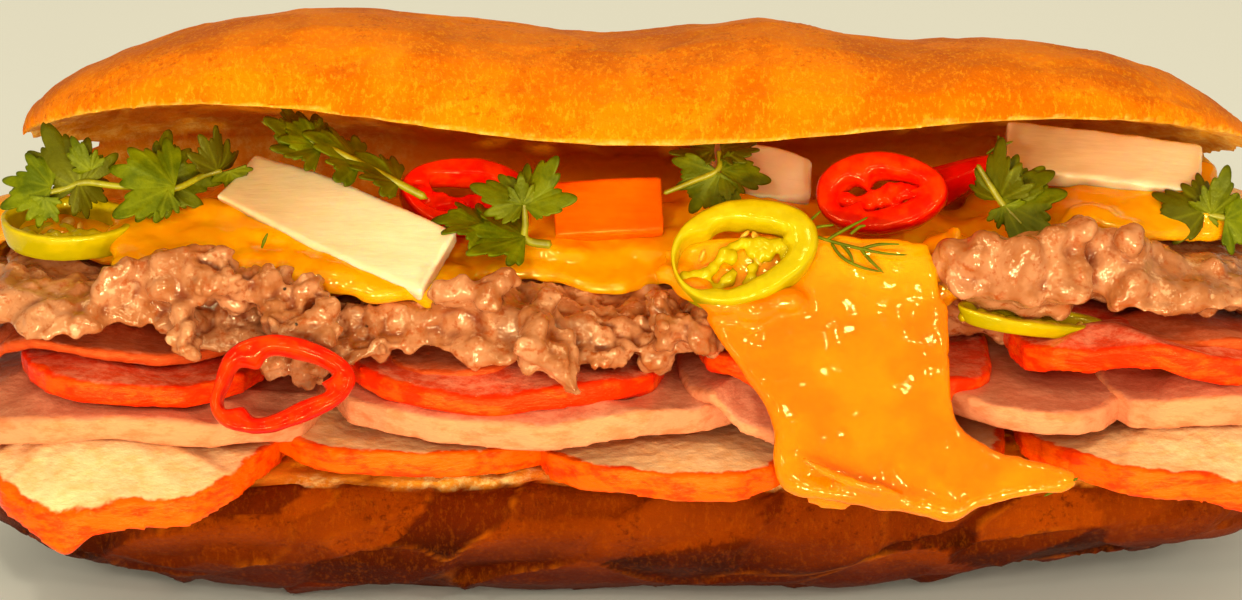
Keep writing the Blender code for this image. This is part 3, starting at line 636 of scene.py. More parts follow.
def add_loaf():
    piece = merged_copy("loaf")
    inner, outer = crumb_sides(piece)
    evened(piece, 1.0, 3)
    points = read(piece)
    to_crumb, to_crust = distances(inner, points), distances(outer, points)
    low = 1 - ease(points[:, 2] / MM, 36, 44)
    crumb = ease(to_crust - to_crumb - 2.6 * low + (0.5 + low) * waves(points, 4.0, 5, 3), -0.3, 0.5)
    ends = ease(np.abs(points[:, 0]) / MM, 98, 107)
    shoulder = np.maximum(low, ends) * (1 - ease(to_crust + to_crumb, 3, 8))
    points = points + (settled(piece, 40) - points) * shoulder[:, None]
    put(piece, points)
    warped = points + 3 * MM * np.stack([waves(points, 13, 21 + axis, 2) for axis in range(3)], axis=1)
    warped = warped @ np.array(Matrix.Rotation(math.radians(24), 3, "Y")).T
    border, slant, tone = pebbles(warped, 12.0, 40, (1.9, 1.0, 0.8))
    dents = 0.5 * waves(points, 26, 11, 2) + 0.16 * waves(points, 3.0, 12, 2)
    facets = 5.0 * slant * ease(border, 0.0, 0.16) + 0.25 * (1 - ease(border, 0.0, 0.06))
    facets = facets + np.clip(-facets, 0, None) * (1 - ease(points[:, 2] / MM, 1.0, 5.0))
    pores = (-0.7 * ease(waves(points, 2.2, 30, 2), 0.1, 0.6) + 0.4 * waves(points, 6, 31, 3)) * ease(to_crust, 1, 4)
    # upper: how high a point is; below these heights the crust gets painted shade as well as a darker bake.
    upper = ease(points[:, 2] / MM + 3 * waves(points, 12, 4), 28, 50)
    pushed(piece, (1 - crumb) * (dents + facets * (1 - 0.75 * upper)) + crumb * pores)
    put(piece, np.maximum(read(piece), (-np.inf, -np.inf, 0)))
    marked(piece, "crumb", crumb)
    under = 1 - 0.75 * (1 - ease(points[:, 2] / MM, 3, 10))
    # tone: a random tone for each facet, which also paints light and shade on the facets' planes.
    marked(piece, "tone", np.clip(0.5 + under * (1.5 * tone - 0.75) + 0.3 * waves(points, 6, 8, 2), 0, 1))
    # side: below these heights the crust is darkest, partly painted shade near the bottom.
    marked(piece, "side", ease(points[:, 2] / MM + 9 * (tone - 0.5) + 2.0 * waves(points, 5, 14, 2), 10, 19))
    above = ease(points[:, 2] / MM + 2 * waves(points, 8, 15, 2), 5, 13)
    marked(piece, "ridge", (1 - ease(border, 0.0, 0.055)) * ease(waves(points, 9, 9, 2), -0.1, 0.4) * above)
    marked(piece, "upper", upper)
    # depth: how far in from the crust, read by the crumb's painted warm shade.
    marked(piece, "depth", ease(to_crust, 3.0, 14.0))
    served(piece, crust_finish(), "crust", "loaf")


# ---------------------------------------------------------------- sliced meat


def rim_tree(piece):
    """The upright faces around the edge of a merged slice."""
    faces = [tuple(face.vertices) for face in piece.data.polygons if abs(face.normal.z) < 0.45]
    return BVHTree.FromPolygons([vertex.co.copy() for vertex in piece.data.vertices], faces)


STRETCHES = {  # how far the left and the right end of a slice are pulled along X and Z, in millimetres
    "roast_slice_2": ((-8.0, 2.5), (3.5, 0.0)),
    "roast_slice_3": ((-3.5, 0.0), (0.0, 0.0)),
    "roast_slice_4": ((0.0, 0.0), (-10.0, 0.0)),
    "roast_slice_5": ((-11.0, 0.5), (0.0, 1.0)),
    "red_ham_slice_2": ((0.0, 2.5), (0.0, 0.5)),
    "red_ham_slice_5": ((-2.0, 5.0), (0.0, 0.0)),
    "pork_roll_slice_2": ((-4.0, 3.0), (0.0, 1.5)),
    "pork_roll_slice_4": ((0.0, 3.0), (8.0, 3.0)),
    "pork_roll_slice_5": ((0.0, 2.5), (0.0, 2.0)),
}
STILL = ((0.0, 0.0), (0.0, 0.0))
TEARS = (  # where a slice is torn or pulled out of its round shape: place, reach and by how much, in millimetres
    ("roast_slice_1", (-87, -44, 24), 3.0, (0, -1.0, -3.4)),
    ("roast_slice_1", (-78, -44, 25), 4.0, (0, 0.6, 1.6)),
    ("roast_slice_1", (-97, -40, 26), 4.0, (0, 0.6, 1.4)),
    ("roast_slice_3", (-13, -44, 27), 2.4, (-1.0, -1.6, -1.6)),
    ("roast_slice_3", (-4, -45, 27), 4.0, (0, 0.8, 1.0)),
    ("roast_slice_2", (-36, -43, 29), 4.0, (0, 1.0, 1.2)),
    ("roast_slice_5", (84, -44, 28), 5.0, (0, 0.8, 1.0)),
    ("roast_slice_5", (96, -42, 27), 4.0, (0, -0.6, -1.6)),
    ("red_ham_slice_2", (-24, -38, 42), 6.0, (0, -0.6, -1.0)),
    ("red_ham_slice_5", (70, -34, 40), 9.0, (0, 3.0, 3.2)),
)


def add_slices():
    finishes = {
        "roast": roast_finish(),
        "pork_roll": pork_roll_finish(),
        "red_ham": red_ham_finish(),
        "pink_ham": pink_ham_finish(),
    }
    for seed, node in enumerate(sorted(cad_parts)):
        kind = node.split("_slice")[0]
        if kind not in finishes:
            continue
        piece = merged_copy(node)
        points = read(piece)
        along = ((points[:, 0] - points[:, 0].min()) / np.ptp(points[:, 0]))[:, None]
        left, right = (np.array((by[0], 0.0, by[1])) for by in STRETCHES.get(node, STILL))
        put(piece, points + (left * (1 - along) + right * along) * MM)
        rim = rim_tree(piece)
        evened(piece, 0.5, 4 if kind == "roast" else 12)
        points, normals = read(piece), read(piece, "normal")
        marked(piece, "rim_mm", distances(rim, points))
        for torn, place, reach, by in TEARS:
            if torn == node:
                near = np.exp(-((np.linalg.norm(points / MM - place, axis=1) / reach) ** 2))
                points = points + near[:, None] * np.array(by) * MM
        put(piece, points)
        upright = 1 - np.abs(normals[:, 2])
        ragged = (0.6 if kind == "roast" else 0.35) * waves(points, 5.5, seed + 20, 3) * upright
        fine = (0.14 if kind == "roast" else 0.05) * waves(points, 1.5, seed + 50, 2)
        pushed(piece, 0.35 * waves(points, 9, seed, 2) + ragged + fine)
        # Painted shade: points in hollows and in the gaps between slices are darkened.
        marked(piece, "hollow_shade", ease(hollows(piece, 8), 0.05, 0.3))
        served(piece, finishes[kind], kind, node)


# ---------------------------------------------------------------- minced meat and sauce

DRIPS = {  # places where the mince hangs over or piles up, in millimetres, and how big it is there
    "minced_meat_left": (
        (-69, -34.5, 50.5, 2.4),
        (-68, -35.2, 49.0, 1.8),
        (-55, -34.0, 51.0, 2.8),
        (-52, -34.5, 50.5, 2.4),
        (-48, -34.0, 51.5, 2.6),
        (-16, -36.5, 49.0, 3.4),
        (-12, -37.5, 46.8, 2.6),
        (-11, -38.0, 45.0, 1.9),
        (-80, -26, 57.0, 3.6),
        (-74, -26, 58.0, 4.2),
        (-68, -26.5, 58.0, 4.2),
        (-62, -27, 57.5, 4.0),
        (-56, -27.5, 56.5, 3.6),
        (-50, -28, 55.0, 3.2),
        (-29, -27, 54.5, 3.4),
        (-22, -27, 54.5, 3.4),
        (-14, -28, 53.0, 3.0),
        (4, -30, 50.0, 3.2),
        (9, -31, 48.5, 2.6),
    ),
    "minced_meat_right": (
        (48, -24, 60.0, 3.4),
        (49, -26, 57.0, 3.2),
        (52, -25, 60.5, 4.0),
        (57, -25, 60.5, 4.4),
        (54, -26.5, 57.0, 3.6),
        (59, -27, 56.5, 3.6),
        (62, -23, 61.5, 4.2),
        (68, -22, 62.0, 4.0),
        (74, -22, 61.0, 3.6),
        (65, -26, 57.5, 3.6),
    ),
}
LIFTED = {  # how far out along X the lower edge of the mince draws up, in millimetres
    "minced_meat_left": (64, 74),
    "minced_meat_right": (30, 40),
}
SAG = 47  # the height under which the mince hardly hangs, in millimetres
PILED = 13  # lumps at each of those places
HIGH = 52  # piles over this height are propped from below, in millimetres
PROP = (0, 2.2, -2.2)  # the step down and back from one prop to the next
ROOT = (0, 2.2, 1.0)  # the step up and back in lumps that hang
LUMP_SIZES = ((0.22, 2.0, 3.0), (0.56, 1.3, 2.1), (0.22, 0.9, 1.3))  # share of the lumps, and their radii


def add_minced(node, seed, count, smear):
    rng = random.Random(seed)
    piece = evened(merged_copy(node), 1.0, 3)
    points = read(piece)
    outer = ease(np.abs(points[:, 0]) / MM, *LIFTED[node])
    points[:, 2] += 4 * MM * outer * (1 - ease(points[:, 2] / MM, 46, 56)) * ease(-points[:, 1] / MM, 12, 24)
    sagging = np.clip(SAG * MM - points[:, 2], 0, None) * ease(-points[:, 1] / MM, 12, 24)
    points[:, 2] += 0.7 * sagging
    put(piece, points)
    normals = read(piece, "normal")
    facing = [k for k in range(len(points)) if normals[k][2] > 0.1 or normals[k][1] < -0.3]
    spots = []
    for share, small, large in LUMP_SIZES:
        for _ in range(int(count * share)):
            k = rng.choice(facing)
            size = rng.uniform(small, large) * MM
            sizes = [size * rng.uniform(0.65, 1.3) for _ in range(3)]
            spots.append((points[k] - normals[k] * size * rng.uniform(0.1, 0.6), sizes, turned(rng)))
    for *middle, size in DRIPS[node]:
        for number in range(PILED):
            place = np.array(middle) + [size * rng.uniform(-0.6, 0.6) for _ in range(3)]
            place += np.array(PROP if middle[2] > HIGH else ROOT) * (number % 3)
            spots.append((place * MM, [size * MM * rng.uniform(0.5, 0.8) for _ in range(3)], turned(rng)))
    joined(piece, lumps("lumps", spots))
    piece = whole(evened(piece, 0.52, 12))
    points = read(piece)
    creamy = ease(waves(points, 14, seed + 5, 2), -0.25, 0.25)
    warped = points + 1.2 * MM * np.stack([waves(points, 4, seed + axis, 2) for axis in range(3)], axis=1)
    coarse, fine = pebbles(warped, 4.4, seed + 60)[0], pebbles(warped, 2.3, seed + 61)[0]
    grains = 0.85 * ease(coarse, 0.0, 0.5) + 0.42 * (1 - 0.6 * creamy) * ease(fine, 0.0, 0.45)
    pushed(piece, 0.5 * waves(points, 6.0, seed + 1, 2) + grains - 0.6)
    soft = np.clip(smear + 0.6 * creamy, 0, 1)[:, None]
    put(piece, read(piece) * (1 - soft) + settled(piece, 3 + round(9 * smear)) * soft)
    # Marks the crevices that get painted shade.
    marked(piece, "hollow_shade", ease(hollows(piece, 9), 0.06, 0.45) * 0.9)
    served(piece, minced_finish(), "minced_meat", node)


RUN_LEFT = (  # the sides of the sauce that runs down the front, from its top, in millimetres
    (2, -21, 60),
    (10, -29, 52.5),
    (14.5, -33.5, 48),
    (19, -37, 43),
    (21.5, -40.5, 38.5),
    (21.5, -43.5, 34.5),
    (22.5, -45.5, 32),
)
RUN_RIGHT = (
    (44.5, -20, 61),
    (46.3, -28, 54),
    (45.4, -34, 47.5),
    (45.8, -37.5, 42),
    (47.2, -40.5, 38),
    (53, -43.5, 35),
    (65, -46, 32.6),
)
RUN_TOP = ((2, -21, 60), (13, -20, 62), (24, -20, 62.5), (34, -20, 62), (44.5, -20, 61))
RUN_FOOT = (
    (22.5, -45.5, 32),
    (28, -46.8, 31),
    (35, -47.3, 29.8),
    (42, -47.5, 29.2),
    (46.6, -47.8, 27.8),
    (50, -47.5, 29.6),
    (57, -46.8, 31.2),
    (65, -46, 32.6),
)
RUN_FOLD = ((24, -47.5, 36.5), (29, -48.2, 34.2), (34, -48.6, 32.6), (39, -49.0, 31.4))  # a fold near its foot
RUN_STEPS = (56, 64)  # across and down


def front_tree(*left_out):
    """All the frame's faces, apart from the nodes left out, to find what lies in front."""
    points, faces = [], []
    for name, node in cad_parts.items():
        if name in left_out:
            continue
        start = len(points)
        points += [vertex.co.copy() for vertex in node.data.vertices]
        faces += [tuple(corner + start for corner in face.vertices) for face in node.data.polygons]
    return BVHTree.FromPolygons(points, faces)


def sauce_run():
    """The thick sheet of sauce that flows down over the slices."""
    bpy.ops.object.select_all(action="DESELECT")
    bpy.ops.mesh.primitive_grid_add(x_subdivisions=RUN_STEPS[0], y_subdivisions=RUN_STEPS[1], size=2.0, location=(0, 0, 0))
    piece = bpy.context.active_object
    grid = read(piece)
    u, v = (grid[:, 0] + 1) / 2, (1 - grid[:, 1]) / 2
    left, right = curve_at(RUN_LEFT, v), curve_at(RUN_RIGHT, v)
    top, foot = curve_at(RUN_TOP, u), curve_at(RUN_FOOT, u)
    across, down = u[:, None], v[:, None]
    corners = [np.array(corner, float) for corner in (RUN_LEFT[0], RUN_RIGHT[0], RUN_LEFT[-1], RUN_RIGHT[-1])]
    plain = (1 - down) * ((1 - across) * corners[0] + across * corners[1])
    plain = plain + down * ((1 - across) * corners[2] + across * corners[3])
    points = (1 - across) * left + across * right + (1 - down) * top + down * foot - plain
    tree = front_tree("egg_sauce", "chilli_green_middle", "chilli_green_front", "chilli_red_front")
    for k, point in enumerate(points):
        start = Vector((point[0], -70, point[2])) * MM
        hit = tree.ray_cast(start, Vector((0, 1, 0)))[0]
        if hit is not None and abs(hit.y / MM - point[1]) < 12:
            points[k, 1] = min(point[1], hit.y / MM - 0.5)
    put(piece, points * MM)
    put(piece, settled(piece, 6))
    shaped(piece, "SOLIDIFY", thickness=2.2 * MM, offset=0.0)
    edge = RUN_LEFT[1:] + RUN_FOOT[1:] + RUN_RIGHT[-2:0:-1]
    lip = stem("lip", edge, (0.9, 1.5, 1.6, 1.5, 1.5, 1.6, 1.5, 1.1, 1.3, 1.4, 1.3, 0.9), 12, 160)
    return joined(piece, lip, stem("fold", RUN_FOLD, (0.3, 0.9, 1.0, 0.9, 0.3), 10, 60))


POOLS = (  # places where sauce laps over the lower side of the big green ring, in millimetres
    (5, -25, 57.5, 2.4),
    (8, -27.5, 56, 2.6),
    (12.5, -29.5, 54.5, 2.8),
    (17.5, -30.5, 53.8, 2.8),
    (22, -29.5, 55, 2.6),
)
SLOPE_X = (-79, -29)  # where the sauce slopes down behind the mince, in millimetres
SLOPE_Y = (-8, -22)
SLOPE_Z = (62.5, 58.0)


def add_sauce():
    rng = random.Random(12)
    piece = evened(merged_copy("egg_sauce"), 0.6, 3)
    pushed(piece, np.full(len(piece.data.vertices), 0.5))
    points = read(piece) / MM
    points[:, 2] += 0.28 * np.clip(points[:, 1] + 16, -10, 14) * ease(points[:, 2], 50, 56)
    left, right = np.array(RUN_LEFT, float), np.array(RUN_RIGHT, float)
    low = np.interp(points[:, 2], left[::-1, 2], left[::-1, 0]) + 2.5
    high = np.interp(points[:, 2], right[::-1, 2], right[::-1, 0]) - 2.5
    hanging = ease(-points[:, 1], 22, 26) * (points[:, 0] > 8)
    points[:, 0] += (np.clip(points[:, 0], low, np.maximum(high, low + 1)) - points[:, 0]) * hanging
    put(piece, points * MM)
    normals = read(piece, "normal")
    lying = [k for k in range(len(points)) if normals[k][2] > 0.5 and points[k][1] > -26]
    spots = []
    for _ in range(110):
        k = rng.choice(lying)
        size = rng.uniform(2.0, 4.5) * MM
        spots.append((points[k] * MM - normals[k] * size * 0.3, (size * 1.3, size, size * 0.5), Matrix.Identity(3)))
    for *middle, size in POOLS:
        spots.append((np.array(middle) * MM, (size * 1.3 * MM, size * MM, size * 0.8 * MM), Matrix.Identity(3)))
    for _ in range(120):
        x, share = rng.uniform(*SLOPE_X), rng.uniform(0, 1)
        y, z = np.interp(share, (0, 1), SLOPE_Y), np.interp(share, (0, 1), SLOPE_Z) - 0.2 * max(0, x + 58)
        size = rng.uniform(2.6, 4.2) * MM
        spots.append((np.array((x, y, z - 1)) * MM, (size * 1.3, size, size * 0.6), Matrix.Identity(3)))
    joined(piece, lumps("pool", spots))
    joined(piece, sauce_run())
    piece = whole(evened(piece, 0.62, 6))
    points = read(piece)
    flow = points * np.array((1.0, 0.7, 0.5))
    pushed(piece, 0.45 * waves(flow, 8, 71, 2) + 0.32 * waves(flow, 3.0, 72, 2))
    marked(piece, "front", ease(-points[:, 1] / MM, 22, 32))
    served(piece, sauce_finish(), "egg_sauce", "egg_sauce")


# ---------------------------------------------------------------- toppings


SHADES = {"radish_front": 0.9, "radish_right": 0.95, "radish_middle": 0.5}  # how much painted shade darkens each piece at its left end


def add_roots():
    # The third colour of each is the painted shade colour.
    radish_tints = (0.93, 0.72, 0.50), (0.86, 0.62, 0.38), (0.58, 0.42, 0.22), (1.0, 0.90, 0.72)
    carrot_tints = (0.95, 0.105, 0.0003), (0.92, 0.16, 0.0008), (0.80, 0.05, 0.0002), (0.98, 0.20, 0.002)
    radish = root_finish("radish", *radish_tints, (1.0, 0.95, 0.8, 1.0), 2.4)
    carrot = root_finish("carrot", *carrot_tints, (1.0, 0.6, 0.1, 1.0), 1.0)
    for node in sorted(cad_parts):
        kind = node.split("_")[0]
        if kind not in ("radish", "carrot"):
            continue
        piece = evened(merged_copy(node), 0.4, 3 if kind == "carrot" else 6)
        points = read(piece)
        share = (points[:, 0] - points[:, 0].min()) / np.ptp(points[:, 0])
        if node == "radish_front":
            middle = np.polyval(np.polyfit(points[:, 0], points[:, 2], 1), points[:, 0])
            narrow = 0.4 * (1 - ease(share, 0.0, 0.5))
            points[:, 2] += (middle - points[:, 2]) * narrow - 0.8 * MM * np.sin(math.pi * share)
            put(piece, points)
        pushed(piece, 0.16 * waves(points, 4, 81, 2))
        marked(piece, "edge", ease(-hollows(piece, 12), 0.12, 0.6) * 0.8)
        # shade: painted shade, darkest at the left end.
        marked(piece, "shade", SHADES.get(node, 0.0) * (1 - 0.75 * ease(share, 0.1, 0.9)))
        served(piece, radish if kind == "radish" else carrot, kind, node)


RINGS = {  # wall, height, cone, wobble, how far the pith stands in, thicker side, filling, seeds, raised by
    "chilli_green_left": (1.5, 4.4, 0.05, 0.03, 0.6, 0.1, 0.5, 2, -0.6),
    "chilli_green_middle": (3.0, 5.6, 0.02, 0.07, 1.0, 0.65, 1.0, 6, -2.4),
    "chilli_green_front": (1.7, 2.6, 0.08, 0.08, 0.8, 0.2, 0.6, 1, -0.4),
    "chilli_red_left": (3.4, 6.0, 0.02, 0.10, 2.2, 0.3, 1.0, 0, 0.0),
    "chilli_red_right": (3.9, 5.6, 0.05, 0.07, 2.0, 0.1, 1.0, 0, 2.8),
    "chilli_red_front": (2.6, 5.4, 0.04, 0.17, 1.8, 0.25, 0.0, 0, 0.4),
}
LEANS = {"chilli_green_front": 14, "chilli_red_front": -12}  # degrees by which a ring's right end hangs lower


def ring_frame(node):
    """A ring's middle, its long, short and facing directions, and half its length and width."""
    points = read(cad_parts[node])
    middle = points.mean(axis=0)
    axes = np.linalg.svd(points - middle, full_matrices=False)[2]
    if axes[2] @ (0, -1, 1.2) < 0:
        axes[2] = -axes[2]
    if axes[0][0] < 0:
        axes[0] = -axes[0]
    axes[1] = np.cross(axes[2], axes[0])
    spread = (points - middle) @ axes.T
    middle = middle + (spread.max(axis=0) + spread.min(axis=0)) / 2 @ axes
    return middle, axes, (spread.max(axis=0) - spread.min(axis=0)) / 2 / MM


def add_ring(node, finish, slot, seeds_finish):
    wall, height, cone, wobble, reach, lean, filling, seeds, raised = RINGS[node]
    seed = sum(map(ord, node))
    rng = random.Random(seed)
    middle, axes, (long, short, _) = ring_frame(node)
    axes = axes @ np.array(Matrix.Rotation(math.radians(LEANS.get(node, 0)), 3, "Y")).T
    middle = middle + np.array((0, 0, raised * MM))
    bpy.ops.object.select_all(action="DESELECT")
    bpy.ops.mesh.primitive_torus_add(
        major_radius=1.0, minor_radius=0.25, major_segments=144, minor_segments=32, location=(0, 0, 0)
    )
    piece = bpy.context.active_object
    piece.name = node + "_ring"
    points = read(piece)
    theta = np.arctan2(points[:, 1], points[:, 0])
    out = (np.hypot(points[:, 0], points[:, 1]) - 1) / 0.25
    top = points[:, 2] / 0.25
    square_out = np.sign(out) * np.abs(out) ** 0.6
    square_top = np.sign(top) * np.abs(top) ** 0.6
    phases = [rng.uniform(0, 2 * math.pi) for _ in range(3)]
    bumps = wobble * (np.cos(2 * theta + phases[0]) * 0.4 + np.cos(3 * theta + phases[1]) * 0.6)
    thick = wall * (1 + 0.12 * np.cos(2 * theta + phases[2]) + lean * np.cos(theta))
    rib = np.clip(np.cos(3 * theta + phases[1]), 0, 1) ** 5 * reach * (out < 0) * np.abs(out)
    radius_long = (long - wall / 2) * (1 + bumps + cone * square_top) + square_out * thick / 2 - rib
    radius_short = (short - wall / 2) * (1 + bumps + cone * square_top) + square_out * thick / 2 - rib
    flat = np.stack([radius_long * np.cos(theta), radius_short * np.sin(theta), square_top * height / 2], axis=1)
    put(piece, flat * MM @ axes + middle)
    alone(piece)
    bpy.ops.object.mode_set(mode="EDIT")
    bpy.ops.mesh.select_all(action="SELECT")
    bpy.ops.mesh.normals_make_consistent(inside=False)
    bpy.ops.object.mode_set(mode="OBJECT")
    points = read(piece)
    pushed(piece, 0.16 * waves(points, 2.5, seed, 2))
    marked(piece, "flesh", np.where(out < 0, 1.0, ease(np.abs(top), 0.70, 0.90)))
    served(piece, finish, slot, node)
    inner_long, inner_short = long - wall, short - wall
    spots = []
    for step in np.linspace(-1, 1, 23):
        for sway in (0.35 * math.sin(3 * step + phases[0]), rng.uniform(-0.9, 0.1) * filling):
            level = (0.25 * filling - 0.3) * height + rng.uniform(-0.4, 0.4)
            place = np.array((inner_long * step, inner_short * sway * math.sqrt(1.05 - step * step), level))
            size = rng.uniform(0.75, 1.25) * MM * (0.6 + 0.5 * filling)
            spots.append((place * MM @ axes + middle, (size, size, size * 0.8), turned(rng)))
    if filling:
        pith = evened(lumps(node + "_pith", spots), 0.35, 3)
        marked(pith, "flesh", np.full(len(pith.data.vertices), 1.0))
        served(pith, finish, slot)
    spots = []
    for _ in range(seeds):
        angle = rng.uniform(0, 2 * math.pi)
        inward = rng.uniform(0.3, 0.85)
        flat = (inner_long * inward * math.cos(angle), inner_short * inward * math.sin(angle), -0.1 * height)
        spots.append((np.array(flat) * MM @ axes + middle, (1.15 * MM, 0.95 * MM, 0.4 * MM), turned(rng)))
    if spots:
        served(lumps(node + "_seeds", spots), seeds_finish, slot)


def add_chillies():
    red_tints = (0.60, 0.0004, 0.0001), (0.76, 0.002, 0.0001), (0.84, 0.005, 0.0001), (0.94, 0.04, 0.0005)
    green_tints = (0.40, 0.31, 0.0003), (0.52, 0.37, 0.0005), (0.49, 0.360, 0.0005), (0.62, 0.45, 0.003)
    red = chilli_finish("red_chilli", *red_tints, (1.0, 0.3, 0.12, 1.0))
    green = chilli_finish("green_chilli", *green_tints, (1.0, 0.95, 0.25, 1.0))
    seeds = seed_finish()
    for node in sorted(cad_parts):
        if not node.startswith("chilli"):
            continue
        colour = node.split("_")[1]
        finish = red if colour == "red" else green
        if node in RINGS:
            add_ring(node, finish, colour + "_chilli", seeds)
            continue
        piece = evened(merged_copy(node), 0.35, 3)
        points = read(piece)
        marked(piece, "flesh", ease(points[:, 0] / MM, 53.2, 53.8) * 0.7)
        served(piece, finish, colour + "_chilli", node)


# ---------------------------------------------------------------- herbs

LOBES = ((-1.25, 0.70), (-0.62, 0.80), (0.0, 1.0), (0.62, 0.84), (1.25, 0.68))  # angle and length of each lobe
LOBE_REACH = 0.50  # half the angle of a lobe
LEAF_SPREAD = 1.62  # the angle from a leaf's middle to its side edge
GREENS = (  # where each leaf starts, where it points, where its face looks, its length, curl and shade
    ((-91, -13, 67.0), (-1.0, 0.0, 0.30), (0.0, -0.8, 0.6), 9.0, 0.3, 0.0),
    ((-87, -12, 66.5), (-0.45, 0.1, 0.9), (-0.1, -0.9, 0.5), 10.5, 0.5, 0.7),
    ((-87, -12, 67.5), (0.9, 0.0, -0.6), (0.4, -0.8, 0.5), 6.5, 0.6, 0.9),
    ((-92, -14.5, 66.0), (-0.1, -0.3, -1.0), (0.0, -0.9, 0.3), 4.6, 0.2, 0.0),
    ((-85, -12, 69.5), (-0.4, 0.0, 1.0), (0.0, -0.9, 0.3), 5.5, 0.4, 0.2),
    ((-72, -12.5, 67.0), (-1.0, 0.0, 0.20), (0.0, -0.8, 0.62), 11.5, 0.2, 0.0),
    ((-73, -13.0, 66.5), (-0.6, -0.3, -0.4), (0.0, -0.7, 0.7), 6.5, 0.3, 0.1),
    ((-75, -9, 67.0), (1.0, 0.1, 0.12), (0.1, -0.85, 0.5), 11.0, 0.3, 0.45),
    ((-66, -8, 68.0), (0.35, 0.0, 1.0), (0.8, -0.55, 0.2), 8.5, 0.7, 0.9),
    ((-64, -8, 68.0), (0.2, 0.0, -0.6), (-0.2, -0.9, 0.4), 6.0, 0.4, 0.4),
    ((-49.5, -7, 71.4), (-0.90, 0.0, 0.46), (0.42, -0.30, 0.85), 13.0, 0.1, 0.5),
    ((-43.5, -7.5, 69.0), (-0.88, 0.0, 0.48), (0.44, -0.25, 0.86), 11.0, 0.1, 0.2),
    ((-37.5, -8.5, 66.2), (-0.86, 0.0, 0.50), (0.46, -0.2, 0.86), 10.0, 0.1, 0.45),
    ((-50.5, -7, 71.8), (-0.75, 0.0, 0.66), (0.5, -0.55, 0.66), 8.0, 0.3, 0.1),
    ((-18, -14, 65.0), (-0.93, 0.0, 0.40), (0.0, -0.82, 0.57), 8.6, 0.3, 0.35),
    ((-18, -14.2, 64.5), (0.62, 0.0, 0.80), (-0.35, -0.85, 0.4), 9.4, 0.2, 0.1),
    ((-18.2, -14.6, 64.8), (-0.1, -0.1, 1.0), (0.0, -0.92, 0.4), 5.0, 0.4, 0.3),
    ((-17.8, -16.2, 60.0), (-0.97, 0.0, 0.16), (0.0, -0.30, 0.95), 12.0, 0.15, 0.0),
    ((-24, -14.6, 61.4), (-0.97, 0.0, 0.22), (0.05, -0.25, 0.95), 9.0, 0.2, 0.1),
    ((12.2, -11.5, 69.0), (-0.55, -0.1, -0.85), (-0.2, -0.95, 0.25), 10.5, 0.2, 0.2),
    ((12.5, -11.0, 69.0), (0.95, 0.0, -0.22), (0.0, -0.72, 0.7), 7.5, 0.3, 0.25),
    ((11.5, -8.0, 71.2), (-1.0, 0.0, 0.1), (0.0, -0.30, 0.95), 7.5, 0.3, 0.8),
    ((12.5, -8.0, 71.2), (1.0, 0.0, 0.05), (0.0, -0.25, 0.97), 7.0, 0.3, 0.8),
    ((56, -14, 64.8), (0.97, 0.0, 0.15), (0.0, -0.78, 0.62), 13.0, 0.2, 0.35),
    ((56, -13, 65.0), (0.80, 0.0, 0.60), (0.0, -0.85, 0.5), 8.5, 0.4, 0.5),
    ((55.5, -13, 65.0), (-0.25, 0.0, 1.0), (-0.5, -0.8, 0.2), 8.0, 0.5, 0.7),
    ((56, -14.5, 64.5), (0.35, -0.3, -0.85), (0.0, -0.85, 0.4), 6.0, 0.2, 0.0),
    ((88, -9.5, 61.8), (-0.95, 0.0, 0.42), (0.55, -0.7, 0.5), 9.5, 0.5, 0.75),
    ((88, -10.0, 61.5), (-0.45, -0.1, -0.85), (0.0, -0.85, 0.5), 6.5, 0.3, 0.35),
    ((89, -10.0, 61.5), (0.3, 0.0, 1.0), (0.2, -0.9, 0.4), 7.0, 0.3, 0.4),
    ((91, -11.0, 61.0), (0.95, 0.0, -0.15), (0.0, -0.85, 0.55), 9.5, 0.2, 0.0),
)
STEMS = (  # paths of the thin stems, and their radii, in millimetres
    (((-92, -13, 66), (-89, -12, 66.5), (-86, -12, 67.5), (-82, -12, 67), (-77, -12, 66.5)), (0.5, 0.55, 0.5)),
    (((-77, -12, 66.5), (-72, -12, 66.5), (-68, -9, 67.5), (-65, -8, 68)), (0.5, 0.5, 0.4)),
    (((-59, -6, 75.4), (-50, -7, 72.0), (-43, -8, 68.8), (-33, -10, 64)), (0.35, 0.6, 0.65)),
    (((-18, -14, 65.2), (-17.8, -14.8, 62), (-17.6, -15.8, 59.4), (-13.6, -16.6, 58.9)), (0.45, 0.6, 0.75)),
    (((-34, -14, 61.2), (-26, -14.6, 60), (-18, -15.8, 59)), (0.3, 0.5, 0.6)),
    (((3.5, -12, 65.6), (8, -11.5, 67.4), (12, -11, 69.2), (12.2, -8, 71.3)), (0.35, 0.5, 0.45)),
    (((52, -12, 70.5), (54, -13, 67.5), (56, -14, 64.6), (59, -15.5, 61.6)), (0.35, 0.55, 0.6)),
    (((84, -9, 62.5), (88, -9.6, 61.4), (93, -10.4, 60.6)), (0.4, 0.55, 0.6)),
)
DILL_START = (24.4, -22.2, 63.4)
DILL_LIE = (0.0, 0.62, 0.78)  # which way is up along the sauce under the dill
DILL = (  # threads, as places along the sauce in millimetres
    ((0, 0), (4.3, -1.6), (9.1, -2.9), (13, -3.7), (16.4, -3.9)),
    ((0, 0), (1.4, 1.5), (3.2, 3.2)),
    ((0.5, -0.4), (2.8, 0.6), (5.2, 0.9)),
    ((4.0, -1.5), (7.0, 0.3), (10.4, 2.2)),
    ((7.6, -0.6), (9.0, 0.6), (10.0, 0.8)),
    ((4.6, -1.8), (6.2, -4.2), (9.0, -5.8), (12.2, -6.6)),
    ((9.1, -2.9), (10.6, -4.8), (12.6, -6.8)),
    ((9.3, -2.9), (12.0, -2.2), (15.2, -2.2)),
    ((6.2, -2.2), (7.4, -3.6), (8.0, -5.2)),
)
